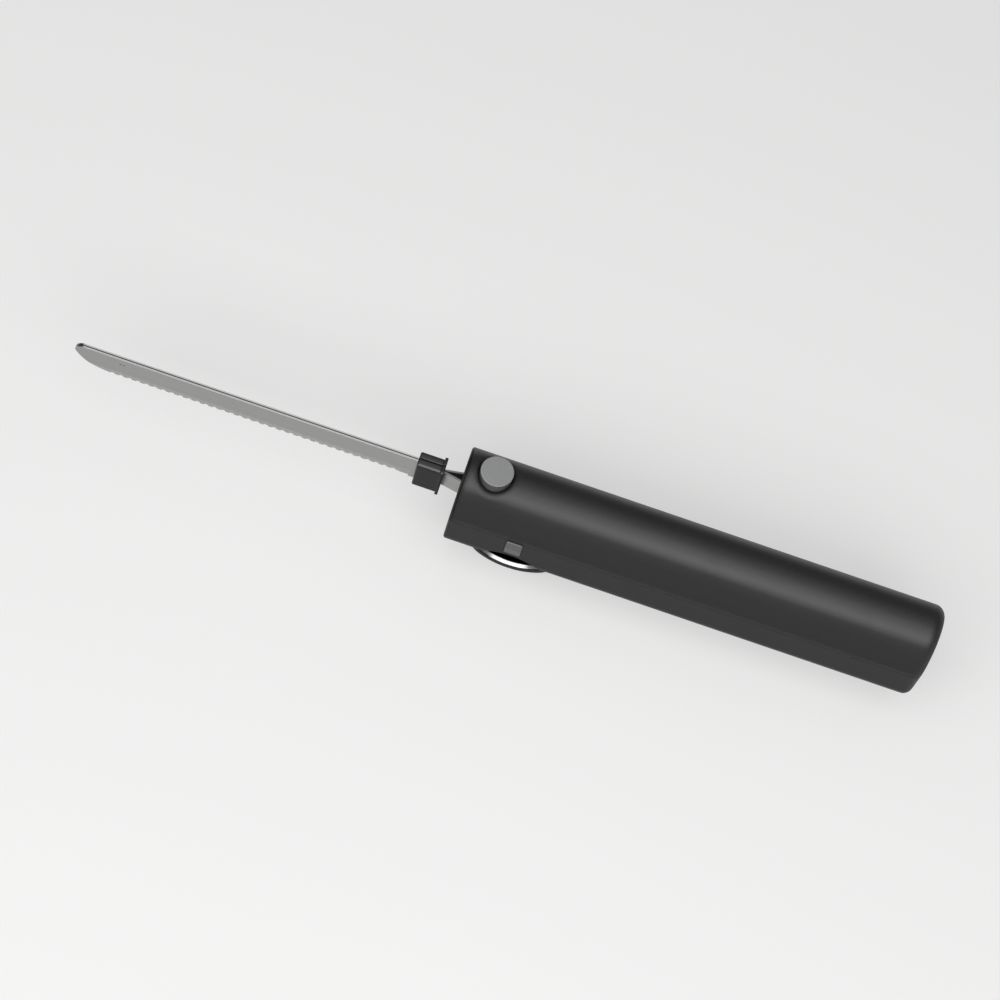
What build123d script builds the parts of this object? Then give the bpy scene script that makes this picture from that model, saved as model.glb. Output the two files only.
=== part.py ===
from build123d import *
import math
import os

os.makedirs("parts", exist_ok=True)

# Lengths are in millimetres. The knife is drawn with X running back from the front face of the
# handle, Z up from its underside and Y across, the steel edge downwards, and is moved to the
# middle of its own box at the end.

# Handle shells
handle_length = 250.0
handle_width = 41.0
handle_height = 54.0
parting_height = 29.0
crown_drop = 4.5
crown_side_share = 1.2542
base_corner = 12.0
rear_lean = 3.0
rear_round = 5.0
lip_rear_margin = 10.0
wall = 2.4
lip_height = 1.2
lip_thickness = 1.0
slip_gap = 0.1
spring_wire_share = 1 / 6
wire_sides = 6
seat_gap = 0.3
running_gap = 0.05
overrun = 2.0

# Front bezel that closes the shells and guides the tangs
bezel_rim = 1.0
bezel_round = 0.8
bezel_depth = 3.0
window_width = 11.6
window_round = 1.5
rail_length = 26.0
rail_height = 8.0
rail_thickness = 2.0

# Finger ring under the handle, its bright liner and the arch that it sits in
ring_place = 35.3
ring_height = -1.0
ring_half_length = 21.4
ring_half_height = 16.0
ring_side_radius = 26.0
ring_band = 2.5
ring_width = 24.8
ring_edge_round = 0.6
liner_band = 1.5
liner_flare_depth = 2.3
liner_flare_rise = 1.2
arch_step = 1.25
arch_wall = 1.6
saddle_margin = 1.5
guard_screw_y = 9.8
guard_screw_x = 30.0
guard_screw_share = 0.8

# Trigger, its pin, spring and switch
trigger_pivot_x = 21.0
trigger_pivot_z = 17.5
trigger_width = 11.0
trigger_shoe_front = 25.2
trigger_shoe_rear = 45.2
trigger_shoe_low = 8.6
trigger_finger_hollow = 1.2
trigger_plate = 2.2
trigger_tail = 48.0
trigger_boss_radius = 2.6
trigger_pin_radius = 1.2
trigger_window_gap = 0.7
trigger_window_sweep = 0.9
trigger_ear = 2.5
switch_wing_x = 40.0
switch_wing_width = 6.0
spring_wing_x = 45.5
spring_wing_width = 5.0
wing_thickness = 1.9
trigger_spring_radius = 1.7
trigger_spring_length = 6.5
trigger_spring_turns = 4

# Small switches, one for the trigger and one for the lock button
switch_length = 12.8
switch_thickness = 5.8
switch_depth = 6.5
plunger_radius = 1.2
plunger_reach = 1.8
plunger_root = 1.8
terminal_width = 2.4
terminal_thickness = 0.5
terminal_length = 3.0
terminal_pitch = 4.6
trigger_switch_y = 10.9
lock_switch_x = 30.4
lock_switch_z = 21.6
lock_plunger_x = 33.4
lock_foot_front = 24.3
lock_foot_rear = 33.5
lock_foot_length = 2.6

# Lock button in the side wall
lock_x = 35.3
lock_z = 22.3
lock_length = 8.4
lock_height = 11.0
lock_round = 1.0
lock_proud = 0.5
lock_ridge = 0.6
lock_depth = 4.8
lock_travel = 1.5
lock_gap = 0.25
lock_flange_reach = 1.7
lock_flange_height = 9.5
lock_flange_thickness = 1.2
lock_spring_z = 25.8
lock_spring_radius = 1.1
lock_spring_pocket = 3.5
lock_spring_turns = 4

# Release button on the crown and the wedge below it
release_x = 15.5
release_radius = 8.5
release_proud = 2.7
release_round = 0.6
release_gap = 0.6
release_cap_height = 6.5
release_skin = 1.6
release_tube_wall = 1.5
release_floor_drop = 9.0
release_floor = 1.2
release_stem_radius = 4.6
release_shoulder_drop = 2.5
wedge_width = 3.0
wedge_half_span = 5.5
wedge_low_half_span = 4.6
wedge_height = 1.3
wedge_foot = 43.4
release_spring_radius = 6.2
release_spring_wire = 0.45
release_spring_turns = 2

# Twin blades
blade_exposed = 180.0
blade_height = 18.75
blade_thickness = 1.0
blade_face_gap = 0.05
blade_middle = 32.2
nose_drop = 4.7
nose_round = 4.8
belly_length = 19.0
belly_drop = 13.3
belly_mid_length_share = 0.395
belly_mid_drop_share = 0.662
edge_thickness = 0.25
bevel_height = 5.4
bevel_run_share = 4
tooth_pitch = 4.5
gullet_length = 3.1
gullet_depth = 1.3
notch_depth = 0.6
teeth_heel_margin = 6.0
scallop_radius = 4.2
scallop_tilt = 10.0
scallop_bite = 0.72
slot_height = 2.4
slot_play = 0.8
rivet_back = 24.8
rivet_drop = 5.0
rivet_pitch = 1.85
rivet_radius = 0.5
rivet_head_height = 3.8
rivet_head_thickness = 0.5

# Tangs behind the collar
tang_height = 13.0
tang_splay = 10.0
tang_seat_y = 4.65
tang_seat_length = 20.0
tang_hole_radius = 1.6
tang_hole_from_seat = 6.0

# Collar halves that close over the blade heels
collar_gap = 9.5
collar_length = 14.0
collar_width = 8.6
collar_height = 22.5
collar_middle = 32.0
collar_round = 1.6
collar_flange_length = 1.5
collar_flange_proud = 0.9

# Carriages that hold the tangs and are driven to and fro
stroke_reach = 4.5
socket_wall = 1.8
socket_inner_y = 3.2
socket_outer_y = 7.1
socket_front = 14.0
socket_rear = 36.0
bar_inner_y = 4.6
bar_height = 10.0
bar_middle = 32.0
yoke_wall = 2.0
latch_thickness = 0.4
latch_height = 6.0
latch_tail = 34.0
latch_head = 9.5
latch_lip_z = 41.2
latch_lip_inner = 5.3
latch_lip_rear = 22.0
latch_stud_radius = 1.1
latch_stud_clear = 0.3
latch_rivet_radius = 0.9
latch_rivet_x = 31.5

# Worm, wheel and eccentrics
wheel_x = 70.0
wheel_z = 30.0
wheel_teeth = 16
gear_module = 1.0
pressure_angle = 20.0
wheel_width = 6.0
worm_pitch_radius = 3.2
tooth_backlash = 0.3
dedendum_share = 1.25
flank_steps = 3
worm_length = 10.0
worm_shaft_radius = 1.15
hub_radius = 6.2
hub_reach = 4.4
cam_radius = 6.8
cam_reach = 7.3
yoke_play_share = 0.2105
axle_radius = 1.6

# Gear frame and its cover
frame_inner_y = 8.0
frame_wall = 2.2
frame_front = 52.8
frame_rear = 88.6
frame_floor = 12.0
frame_top = 44.2
cover_thickness = 1.6
cover_inset = 1.4
guard_screw_radius = 1.0
motor_screw_offset = 5.7
motor_screw_radius = 1.0
screw_head_radius = 2.0
screw_head_height = 1.3
bush_radius = 2.6

# Motor
motor_radius = 13.85
motor_length = 35.0
motor_wall = 1.2
motor_cap_length = 3.0
motor_cradle_share = 1 / 3
motor_nose_radius = 3.2
motor_nose_length = 1.8
rotor_radius = 9.6
rotor_length = 20.0
rotor_poles = 3
rotor_slot_place_share = 3 / 4
rotor_slot_width_share = 1 / 3
magnet_thickness = 2.4
commutator_radius = 3.0
commutator_length = 5.0

# Battery pack
cell_radius = 9.2
cell_tip_radius = 3.2
cell_tip = 0.8
cells_motor_gap = 14.4
cells_screw_gap = 7.0
cell_low_z = 14.0
cell_pitch = 18.9
tray_wall = 1.6
tray_half_width = 10.8
strip_thickness = 0.4
strip_width = 7.0

# Charging board, inlet and lamp
board_from_rear = 36.0
board_length = 30.0
board_width = 26.0
board_thickness = 1.6
board_z = 13.0
jack_length = 9.5
jack_width = 9.0
jack_height = 10.0
jack_bore = 2.75
jack_pin = 1.0
jack_pin_length = 7.0
lamp_y = 10.0
lamp_radius = 1.5
chip_height = 2.0
chip_front_share = 0.34
chip_rear_share = 0.52
chip_side_share = 0.33
can_place_share = 0.25
can_radius = 3.2
can_height = 8.0

# Screws and the bosses that take them
screw_motor_gap = 7.3
screw_from_rear = 40.0
screw_y = 9.0
screw_radius = 1.45
boss_radius = 3.6
boss_meeting = 27.0
screw_seat = 17.0
screw_length = 20.0
access_radius = 2.9
case_screw_head_radius = 2.6
case_screw_head = 2.0

# Sizes that follow from the ones above
half_width = handle_width / 2
lock_switch_face = half_width - lock_depth - seat_gap - plunger_reach
crown_half_height = handle_height - parting_height + crown_drop
crown_side_radius = crown_half_height * crown_side_share
crown_centre = parting_height - crown_drop
crown_half_width = half_width + crown_side_radius - math.sqrt(crown_side_radius**2 - crown_drop**2)
spine_z = blade_middle + blade_height / 2
edge_z = blade_middle - blade_height / 2
collar_rear = -collar_gap
collar_front = collar_rear - collar_length
nose_x = collar_front - blade_exposed
blade_outer = blade_face_gap + blade_thickness
rivet_x = nose_x + rivet_back
rivet_z = spine_z - rivet_drop
tang_slope = math.tan(math.radians(tang_splay))
tang_start_y = blade_face_gap + blade_thickness / 2
tang_bend_x = collar_rear + (tang_seat_y - tang_start_y) / tang_slope
tang_end = tang_bend_x + tang_seat_length
worm_z = wheel_z - worm_pitch_radius - gear_module * wheel_teeth / 2
worm_lead = math.pi * gear_module
cam_half_slot = cam_radius + stroke_reach * yoke_play_share + slip_gap * 2
yoke_half_height = stroke_reach + cam_radius + seat_gap
motor_front = frame_rear
motor_rear = motor_front + motor_length
screw_front_x = motor_rear + screw_motor_gap
screw_rear_x = handle_length - screw_from_rear
cells_front = motor_rear + cells_motor_gap
cells_rear = screw_rear_x - cells_screw_gap
board_front = handle_length - board_from_rear
inlet_z = board_z + board_thickness + jack_height / 2
button_top = handle_height + release_proud
release_floor_low = handle_height - release_floor_drop
release_shoulder = handle_height - release_shoulder_drop
guard_pad_top = ring_height + ring_half_height + slip_gap + arch_wall
ring_low = ring_height - ring_half_height
x_shift = -(nose_x + handle_length) / 2
z_shift = -ring_low


def block(x_low, x_high, y_low, y_high, z_low, z_high):
    """A plain box between two corners."""
    corner = Pos(x_low, y_low, z_low)
    return corner * Box(x_high - x_low, y_high - y_low, z_high - z_low, align=(Align.MIN,) * 3)


def along(sketch, x_low, x_high):
    """A section drawn with Y and Z, run along X."""
    return extrude(Plane.YZ.offset(x_low) * sketch, amount=x_high - x_low, dir=(1, 0, 0))


def across(sketch, y_low, y_high):
    """An outline drawn with X and Z, run along Y."""
    return extrude(Plane.XZ.offset(-y_high) * sketch, amount=y_high - y_low, dir=(0, -1, 0))


def upward(sketch, z_low, z_high):
    """A plan drawn with X and Y, run along Z."""
    return extrude(Plane.XY.offset(z_low) * sketch, amount=z_high - z_low, dir=(0, 0, 1))


def rod_x(radius, x_low, x_high, y, z):
    return along(Pos(y, z) * Circle(radius), x_low, x_high)


def rod_y(radius, y_low, y_high, x, z):
    return across(Pos(x, z) * Circle(radius), y_low, y_high)


def rod_z(radius, z_low, z_high, x, y):
    return upward(Pos(x, y) * Circle(radius), z_low, z_high)


def both_sides(solid):
    """The solid and its mirror image across the middle plane."""
    return solid + mirror(solid, about=Plane.XZ)


def oval(half_length, half_height, side_radius):
    """Four tangent arcs: two flat ones of the given radius, and the tighter ends that meet them."""
    rise = half_length**2 + half_height**2 - 2 * side_radius * half_height
    end_radius = rise / (2 * (half_length - side_radius))
    lean = math.atan2(side_radius - half_height, half_length - end_radius)
    x = half_length - end_radius + end_radius * math.cos(lean)
    y = end_radius * math.sin(lean)
    return make_face([
        ThreePointArc((x, y), (0, half_height), (-x, y)),
        ThreePointArc((-x, y), (-half_length, 0), (-x, -y)),
        ThreePointArc((-x, -y), (0, -half_height), (x, -y)),
        ThreePointArc((x, -y), (half_length, 0), (x, y)),
    ])


def coil(radius, wire, length, turns):
    """A compression spring of six-sided wire, standing on the XY plane."""
    path = Helix(pitch=(length - 2 * wire) / turns, height=length - 2 * wire, radius=radius)
    start = Plane(origin=path @ 0, z_dir=path % 0)
    return Pos(0, 0, wire) * sweep(start * RegularPolygon(wire, wire_sides), path=path, is_frenet=True)


# Handle shells

def crown_section(inset):
    outline = oval(
        crown_half_height - inset, crown_half_width - inset, crown_side_radius - inset
    )
    crown = Pos(0, crown_centre) * Rot(0, 0, 90) * outline
    upper = Pos(0, parting_height) * Rectangle(
        2 * handle_width, 2 * handle_height, align=(Align.CENTER, Align.MIN)
    )
    return crown & upper


def base_section(inset):
    width = handle_width - 2 * inset
    round_box = Pos(0, inset) * RectangleRounded(
        width, 2 * handle_height, base_corner - inset, align=(Align.CENTER, Align.MIN)
    )
    lower = Pos(0, parting_height) * Rectangle(
        2 * handle_width, 2 * handle_height, align=(Align.CENTER, Align.MAX)
    )
    return round_box & lower


def side_outline(inset):
    """The handle from the side, run on past its open front."""
    return Polygon(
        (-overrun, inset),
        (handle_length - rear_lean - inset, inset),
        (handle_length - inset, handle_height - inset),
        (-overrun, handle_height - inset),
        align=None,
    )


def handle_block(section, inset, front):
    body = along(section, front, handle_length + overrun)
    return body & across(side_outline(inset), -handle_width, handle_width)


def rear_edges(solid):
    """Edges of the rear face, but not the one on the parting plane."""
    back = solid.faces().sort_by(Axis.X)[-1]
    parting = back.edges().filter_by(Axis.Y).filter_by(
        lambda edge: abs(edge.center().Z - parting_height) < running_gap
    )
    return [edge for edge in back.edges() if edge not in parting]


def ring_oval(inset):
    """The ring's oval, drawn in by an inset from its outside."""
    outline = oval(ring_half_length - inset, ring_half_height - inset, ring_side_radius - inset)
    return Pos(ring_place, ring_height) * outline


def arch_cut():
    """The space of the finger ring, stepped where the ring itself is let in."""
    arch = across(
        ring_oval(arch_step),
        -handle_width,
        handle_width,
    )
    half = ring_width / 2 + slip_gap
    seat = across(ring_oval(-slip_gap), -half, half)
    return arch + seat


def arch_walls():
    """The vault that closes the lower shell over the finger ring."""
    vault = across(
        ring_oval(arch_step - arch_wall),
        -handle_width,
        handle_width,
    )
    half = ring_width / 2 + slip_gap + saddle_margin
    saddle = across(
        ring_oval(-slip_gap - arch_wall),
        -half,
        half,
    )
    return vault + saddle


def trigger_opening():
    """The slot in ring, liner and vault that the trigger comes down through."""
    half = trigger_width / 2 + trigger_window_gap
    rear = trigger_shoe_rear + trigger_window_gap + trigger_window_sweep
    front = trigger_shoe_front - trigger_window_gap
    return block(front, rear, -half, half, ring_height, trigger_pivot_z + trigger_plate)


def case_bosses(z_low, z_high):
    spots = [(x, y) for x in (screw_front_x, screw_rear_x) for y in (-screw_y, screw_y)]
    bosses = [rod_z(boss_radius, z_low, z_high, x, y) for x, y in spots]
    return Part() + bosses


def case_holes(radius, z_low, z_high):
    spots = [(x, y) for x in (screw_front_x, screw_rear_x) for y in (-screw_y, screw_y)]
    return Part() + [rod_z(radius, z_low, z_high, x, y) for x, y in spots]


def upper_housing():
    outer = handle_block(crown_section(0), 0, bezel_rim)
    outer = fillet(rear_edges(outer), rear_round)
    inner = handle_block(crown_section(wall), wall, -overrun)
    shell = outer - inner
    # tongue that keeps the two shells in line
    tongue = block(
        bezel_rim + bezel_depth,
        handle_length - lip_rear_margin,
        half_width - wall,
        half_width - wall + lip_thickness,
        parting_height - lip_height,
        parting_height + lip_height,
    )
    shell += both_sides(tongue)
    tube = rod_z(
        release_radius + release_gap + release_tube_wall,
        release_floor_low,
        handle_height,
        release_x,
        0,
    )
    shell += tube & handle_block(crown_section(0), 0, bezel_rim)
    shell += case_bosses(boss_meeting + seat_gap, handle_height) & handle_block(
        crown_section(wall / 2) + base_section(wall / 2), wall / 2, bezel_rim
    )
    floor_top = release_floor_low + release_floor
    shell -= rod_z(release_radius + release_gap, floor_top, button_top, release_x, 0)
    shell -= rod_z(release_stem_radius + seat_gap, 0, button_top, release_x, 0)
    shell -= case_holes(screw_radius, 0, screw_seat + screw_length + overrun)
    return shell


def lower_housing():
    outer = handle_block(base_section(0), 0, bezel_rim)
    outer = fillet(rear_edges(outer), rear_round)
    inner = handle_block(base_section(wall), wall, -overrun)
    shell = outer - inner
    shell += arch_walls() & handle_block(base_section(wall / 2), wall / 2, bezel_rim)
    pads = rod_z(screw_head_radius, ring_height, guard_pad_top, guard_screw_x, guard_screw_y)
    shell += both_sides(pads)
    shell += case_bosses(wall / 2, boss_meeting)
    shell -= case_holes(access_radius, -overrun, screw_seat)
    shell -= case_holes(screw_radius + running_gap, 0, boss_meeting + overrun)
    shell += trigger_ears()
    shell += frame_ribs()
    shell += switch_shelves()
    shell -= arch_cut()
    shell -= trigger_opening()
    shell -= guard_shanks(guard_screw_radius + running_gap)
    rebate = block(
        0,
        handle_length - lip_rear_margin + seat_gap,
        half_width - wall - overrun,
        half_width - wall + lip_thickness + slip_gap,
        parting_height - lip_height - slip_gap,
        parting_height + overrun,
    )
    shell -= both_sides(rebate)
    shell -= lock_opening()
    shell -= rod_x(jack_bore + jack_pin, board_front, handle_length + overrun, 0, inlet_z)
    shell -= rod_x(lamp_radius + running_gap, board_front, handle_length + overrun, lamp_y, inlet_z)
    return shell


def trigger_ears():
    """Two ears on the vault that hold the trigger's pin."""
    inner = trigger_width / 2 + seat_gap
    ear = block(
        trigger_pivot_x - trigger_ear,
        trigger_pivot_x + trigger_ear,
        inner,
        inner + trigger_ear,
        ring_height + ring_half_height - trigger_ear,
        trigger_pivot_z + trigger_boss_radius,
    )
    pin = rod_y(trigger_pin_radius, -half_width, half_width, trigger_pivot_x, trigger_pivot_z)
    return both_sides(ear) - pin


def frame_ribs():
    """Cross ribs that carry the gear frame, the motor and the battery tray."""
    ribs = Part()
    inside = handle_block(base_section(wall / 2), wall / 2, bezel_rim)
    for x in (frame_front + frame_wall, frame_rear - frame_wall):
        ribs += block(x, x + frame_wall, -half_width, half_width, 0, frame_floor) & inside
    cradle = block(
        motor_rear - motor_length * motor_cradle_share,
        motor_rear - motor_length * motor_cradle_share + frame_wall,
        -half_width,
        half_width,
        0,
        worm_z,
    )
    ribs += (cradle & inside) - rod_x(motor_radius + slip_gap, 0, handle_length, 0, worm_z)
    tray_floor = cell_low_z - cell_radius - tray_wall
    for x in (cells_front, cells_rear - frame_wall):
        ribs += block(x, x + frame_wall, -half_width, half_width, 0, tray_floor) & inside
    for x in (board_front + frame_wall, board_front + board_length - 2 * frame_wall):
        ribs += block(x, x + frame_wall, -half_width, half_width, 0, board_z) & inside
    return ribs


def switch_shelves():
    """Wall pads that carry the two switches and the trigger's spring."""
    inside = handle_block(base_section(wall / 2), wall / 2, bezel_rim)
    side = trigger_switch_y + switch_thickness / 2
    pad = block(
        switch_wing_x - switch_wing_width / 2,
        switch_wing_x + switch_wing_width / 2,
        side,
        half_width,
        trigger_switch_low(),
        trigger_switch_low() + switch_depth,
    )
    ledge_z = trigger_pivot_z + trigger_plate + trigger_spring_length
    ledge = block(
        spring_wing_x - spring_wing_width / 2,
        spring_wing_x + spring_wing_width / 2,
        -half_width,
        -trigger_switch_y + trigger_spring_radius + wing_thickness,
        ledge_z,
        ledge_z + wing_thickness,
    )
    feet = Part()
    for x in (lock_foot_front, lock_foot_rear):
        feet += block(
            x,
            x + lock_foot_length,
            -lock_switch_face,
            -lock_switch_face + switch_depth,
            ring_height + ring_half_height - arch_wall,
            lock_switch_z - switch_thickness / 2,
        )
    return (pad + ledge + feet) & inside


def lock_opening():
    hole = RectangleRounded(lock_length + 2 * lock_gap, lock_height + 2 * lock_gap, lock_round)
    return across(Pos(lock_x, lock_z) * hole, -handle_width, -half_width + wall + seat_gap)


def nose_bezel():
    outline = crown_section(0) + base_section(0)
    small = offset(outline, amount=-bezel_round, kind=Kind.INTERSECTION)
    rim = along(outline, bezel_round, bezel_rim)
    rim += loft([Plane.YZ * small, Plane.YZ.offset(bezel_round) * outline], ruled=True)
    inner = crown_section(wall + slip_gap) + base_section(wall + slip_gap)
    plate = rim + along(inner, bezel_rim, bezel_rim + bezel_depth)
    window = RectangleRounded(window_width, tang_height + 2 * seat_gap, window_round)
    plate -= along(Pos(0, collar_middle) * window, -overrun, bezel_rim + bezel_depth + overrun)
    rail = block(
        bezel_rim,
        bezel_rim + bezel_depth + rail_length,
        socket_outer_y + latch_thickness + seat_gap,
        socket_outer_y + latch_thickness + seat_gap + rail_thickness,
        collar_middle - rail_height / 2,
        collar_middle + rail_height / 2,
    )
    return plate + both_sides(rail)


# Finger ring

def finger_guard():
    half = ring_width / 2
    band = across(ring_oval(0), -half, half)
    outer_edges = band.edges().filter_by(GeomType.CIRCLE)
    band = fillet(outer_edges, ring_edge_round)
    band -= across(ring_oval(ring_band), -half - overrun, half + overrun)
    band -= trigger_opening()
    return band - guard_shanks(guard_screw_radius + running_gap / 2)


def flare(side):
    """The bevel that opens one end of the liner."""
    half = ring_width / 2
    inset = ring_band + liner_band
    deep = Plane.XZ.offset(-side * (half - liner_flare_depth)) * ring_oval(inset)
    mouth = Plane.XZ.offset(-side * half) * ring_oval(inset - liner_flare_rise)
    return loft([deep, mouth], ruled=True)


def guard_liner():
    half = ring_width / 2
    tube = across(ring_oval(ring_band + running_gap), -half, half)
    tube -= across(ring_oval(ring_band + liner_band), -half - overrun, half + overrun)
    tube -= flare(1)
    tube -= flare(-1)
    return tube - trigger_opening()


def guard_shanks(radius):
    """The two screw shanks that reach from the pads on the vault down into the ring."""
    tip = ring_height + ring_half_height - ring_band * guard_screw_share
    return both_sides(rod_z(radius, tip, guard_pad_top, guard_screw_x, guard_screw_y))


def guard_screws():
    """Two screws that hold the ring up against the vault."""
    head_top = guard_pad_top + screw_head_height
    heads = rod_z(screw_head_radius, guard_pad_top, head_top, guard_screw_x, guard_screw_y)
    return guard_shanks(guard_screw_radius) + both_sides(heads)


# Trigger and switches

def trigger():
    top = trigger_pivot_z + trigger_plate
    half = trigger_width / 2
    middle = (trigger_shoe_front + trigger_shoe_rear) / 2
    shoe = make_face([
        Line((trigger_shoe_front, top), (trigger_shoe_front, trigger_shoe_low)),
        ThreePointArc(
            (trigger_shoe_front, trigger_shoe_low),
            (middle, trigger_shoe_low + trigger_finger_hollow),
            (trigger_shoe_rear, trigger_shoe_low),
        ),
        Line((trigger_shoe_rear, trigger_shoe_low), (trigger_shoe_rear, top)),
        Line((trigger_shoe_rear, top), (trigger_shoe_front, top)),
    ])
    corners = shoe.vertices().sort_by(Axis.Y)[:2]
    shoe = fillet(corners, trigger_boss_radius / 2)
    lever = across(shoe, -half, half)
    low_edges = lever.edges().filter_by(lambda e: abs(abs(e.center().Y) - half) < running_gap)
    low_edges = low_edges.filter_by(lambda e: e.center().Z < trigger_shoe_low + trigger_boss_radius)
    lever = fillet(low_edges, ring_edge_round)
    plate = block(trigger_pivot_x, trigger_tail, -half, half, trigger_pivot_z, top)
    lever += plate
    lever += rod_y(trigger_boss_radius, -half, half, trigger_pivot_x, trigger_pivot_z)
    lever += block(
        switch_wing_x - switch_wing_width / 2,
        switch_wing_x + switch_wing_width / 2,
        0,
        trigger_switch_y + plunger_radius,
        top - wing_thickness,
        top,
    )
    lever += block(
        spring_wing_x - spring_wing_width / 2,
        spring_wing_x + spring_wing_width / 2,
        -trigger_switch_y - trigger_spring_radius,
        0,
        top - wing_thickness,
        top,
    )
    return lever - rod_y(
        trigger_pin_radius + running_gap, -half_width, half_width, trigger_pivot_x, trigger_pivot_z
    )


def trigger_pin():
    reach = trigger_width / 2 + seat_gap + trigger_ear
    return rod_y(trigger_pin_radius - running_gap / 2, -reach, reach, trigger_pivot_x, trigger_pivot_z)


def trigger_spring():
    wire = trigger_spring_radius * spring_wire_share
    spring = coil(trigger_spring_radius, wire, trigger_spring_length - slip_gap, trigger_spring_turns)
    foot = trigger_pivot_z + trigger_plate + slip_gap / 2
    return Pos(spring_wing_x, -trigger_switch_y, foot) * spring


def trigger_switch_low():
    return trigger_pivot_z + trigger_plate + seat_gap + plunger_reach


def switch_case():
    """A small switch standing on its plunger side, its plunger hole at the origin."""
    case = Box(switch_length, switch_thickness, switch_depth, align=(Align.CENTER, Align.CENTER, Align.MIN))
    case = fillet(case.edges().filter_by(Axis.Z), ring_edge_round)
    bore = rod_z(plunger_radius + running_gap, -overrun, 2 * plunger_root + seat_gap, 0, 0)
    return case - bore


def trigger_switch():
    place = Pos(switch_wing_x, trigger_switch_y, trigger_switch_low())
    return place * switch_case()


def lock_switch():
    """Lies on its side behind the lock button and carries the seat of its spring."""
    case = Box(switch_length, switch_depth, switch_thickness, align=(Align.CENTER, Align.MIN, Align.CENTER))
    case = fillet(case.edges().filter_by(Axis.Y), ring_edge_round)
    case = Pos(lock_switch_x, -lock_switch_face, lock_switch_z) * case
    case += block(
        lock_x - lock_spring_radius * 2,
        min(lock_x + lock_spring_radius, lock_switch_x + switch_length / 2),
        -lock_switch_face,
        -lock_switch_face + terminal_width,
        lock_switch_z,
        lock_spring_z + lock_spring_radius,
    )
    bore = rod_y(
        plunger_radius + running_gap,
        -lock_switch_face - overrun,
        -lock_switch_face + plunger_root + lock_travel + seat_gap,
        lock_plunger_x,
        lock_switch_z,
    )
    return case - bore


def trigger_plunger():
    low = trigger_switch_low() - plunger_reach
    return rod_z(plunger_radius, low, low + plunger_reach + plunger_root, switch_wing_x, trigger_switch_y)


def lock_plunger():
    low = -lock_switch_face - plunger_reach
    return rod_y(plunger_radius, low, -lock_switch_face + plunger_root, lock_plunger_x, lock_switch_z)


def switch_terminals():
    """Solder tags on the far side of both switches."""
    tags = Part()
    top = trigger_switch_low() + switch_depth
    back = -lock_switch_face + switch_depth
    for step in (-1, 0, 1):
        x = switch_wing_x + step * terminal_pitch
        tags += block(
            x - terminal_width / 2,
            x + terminal_width / 2,
            trigger_switch_y - terminal_thickness / 2,
            trigger_switch_y + terminal_thickness / 2,
            top,
            top + terminal_length,
        )
        x = lock_switch_x + step * terminal_pitch
        tags += block(
            x - terminal_width / 2,
            x + terminal_width / 2,
            back,
            back + terminal_length,
            lock_switch_z - terminal_thickness / 2,
            lock_switch_z + terminal_thickness / 2,
        )
    return tags


def lock_button():
    face = -half_width - lock_proud
    inner = -half_width + lock_depth
    half = lock_height / 2
    profile = Polygon(
        (inner, lock_z - half),
        (face, lock_z - half),
        (face - lock_ridge, lock_z),
        (face, lock_z + half),
        (inner, lock_z + half),
        align=None,
    )
    button = along(profile, lock_x - lock_length / 2, lock_x + lock_length / 2)
    button = fillet(button.edges().filter_by(Axis.Y), lock_round - lock_gap)
    flange_face = -half_width + wall + seat_gap
    reach = lock_length / 2 + lock_flange_reach
    button += block(
        lock_x - reach,
        lock_x + reach,
        flange_face,
        flange_face + lock_flange_thickness,
        lock_z - lock_flange_height / 2,
        lock_z + lock_flange_height / 2,
    )
    return button - rod_y(
        lock_spring_radius + seat_gap, inner - lock_spring_pocket, inner + overrun, lock_x, lock_spring_z
    )


def lock_spring():
    wire = lock_spring_radius * spring_wire_share
    low = -half_width + lock_depth - lock_spring_pocket + running_gap
    length = -lock_switch_face - low - running_gap
    spring = coil(lock_spring_radius, wire, length, lock_spring_turns)
    return Pos(lock_x, low, lock_spring_z) * Rot(-90, 0, 0) * spring


# Release button

def release_button():
    low = button_top - release_cap_height
    cap = rod_z(release_radius, low, button_top, release_x, 0)
    cap = fillet(cap.edges().sort_by(Axis.Z)[-1], release_round)
    hollow = rod_z(release_radius - release_skin, low - overrun, button_top - release_skin, release_x, 0)
    return cap - hollow


def release_plunger():
    """Fills the button above its spring; the wedge below the floor keeps it in the tube."""
    stem_low = wedge_foot + wedge_height
    fill = rod_z(release_radius - release_skin, release_shoulder, button_top - release_skin, release_x, 0)
    stem = rod_z(release_stem_radius, stem_low, release_shoulder, release_x, 0)
    wedge = Polygon(
        (-wedge_low_half_span, wedge_foot),
        (wedge_low_half_span, wedge_foot),
        (wedge_half_span, stem_low),
        (-wedge_half_span, stem_low),
        align=None,
    )
    return fill + stem + along(wedge, release_x - wedge_width / 2, release_x + wedge_width / 2)


def release_spring():
    floor_top = release_floor_low + release_floor
    length = release_shoulder - floor_top - slip_gap
    spring = coil(release_spring_radius, release_spring_wire, length, release_spring_turns)
    return Pos(release_x, 0, floor_top + slip_gap / 2) * spring


# Twin blades and their collar

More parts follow.
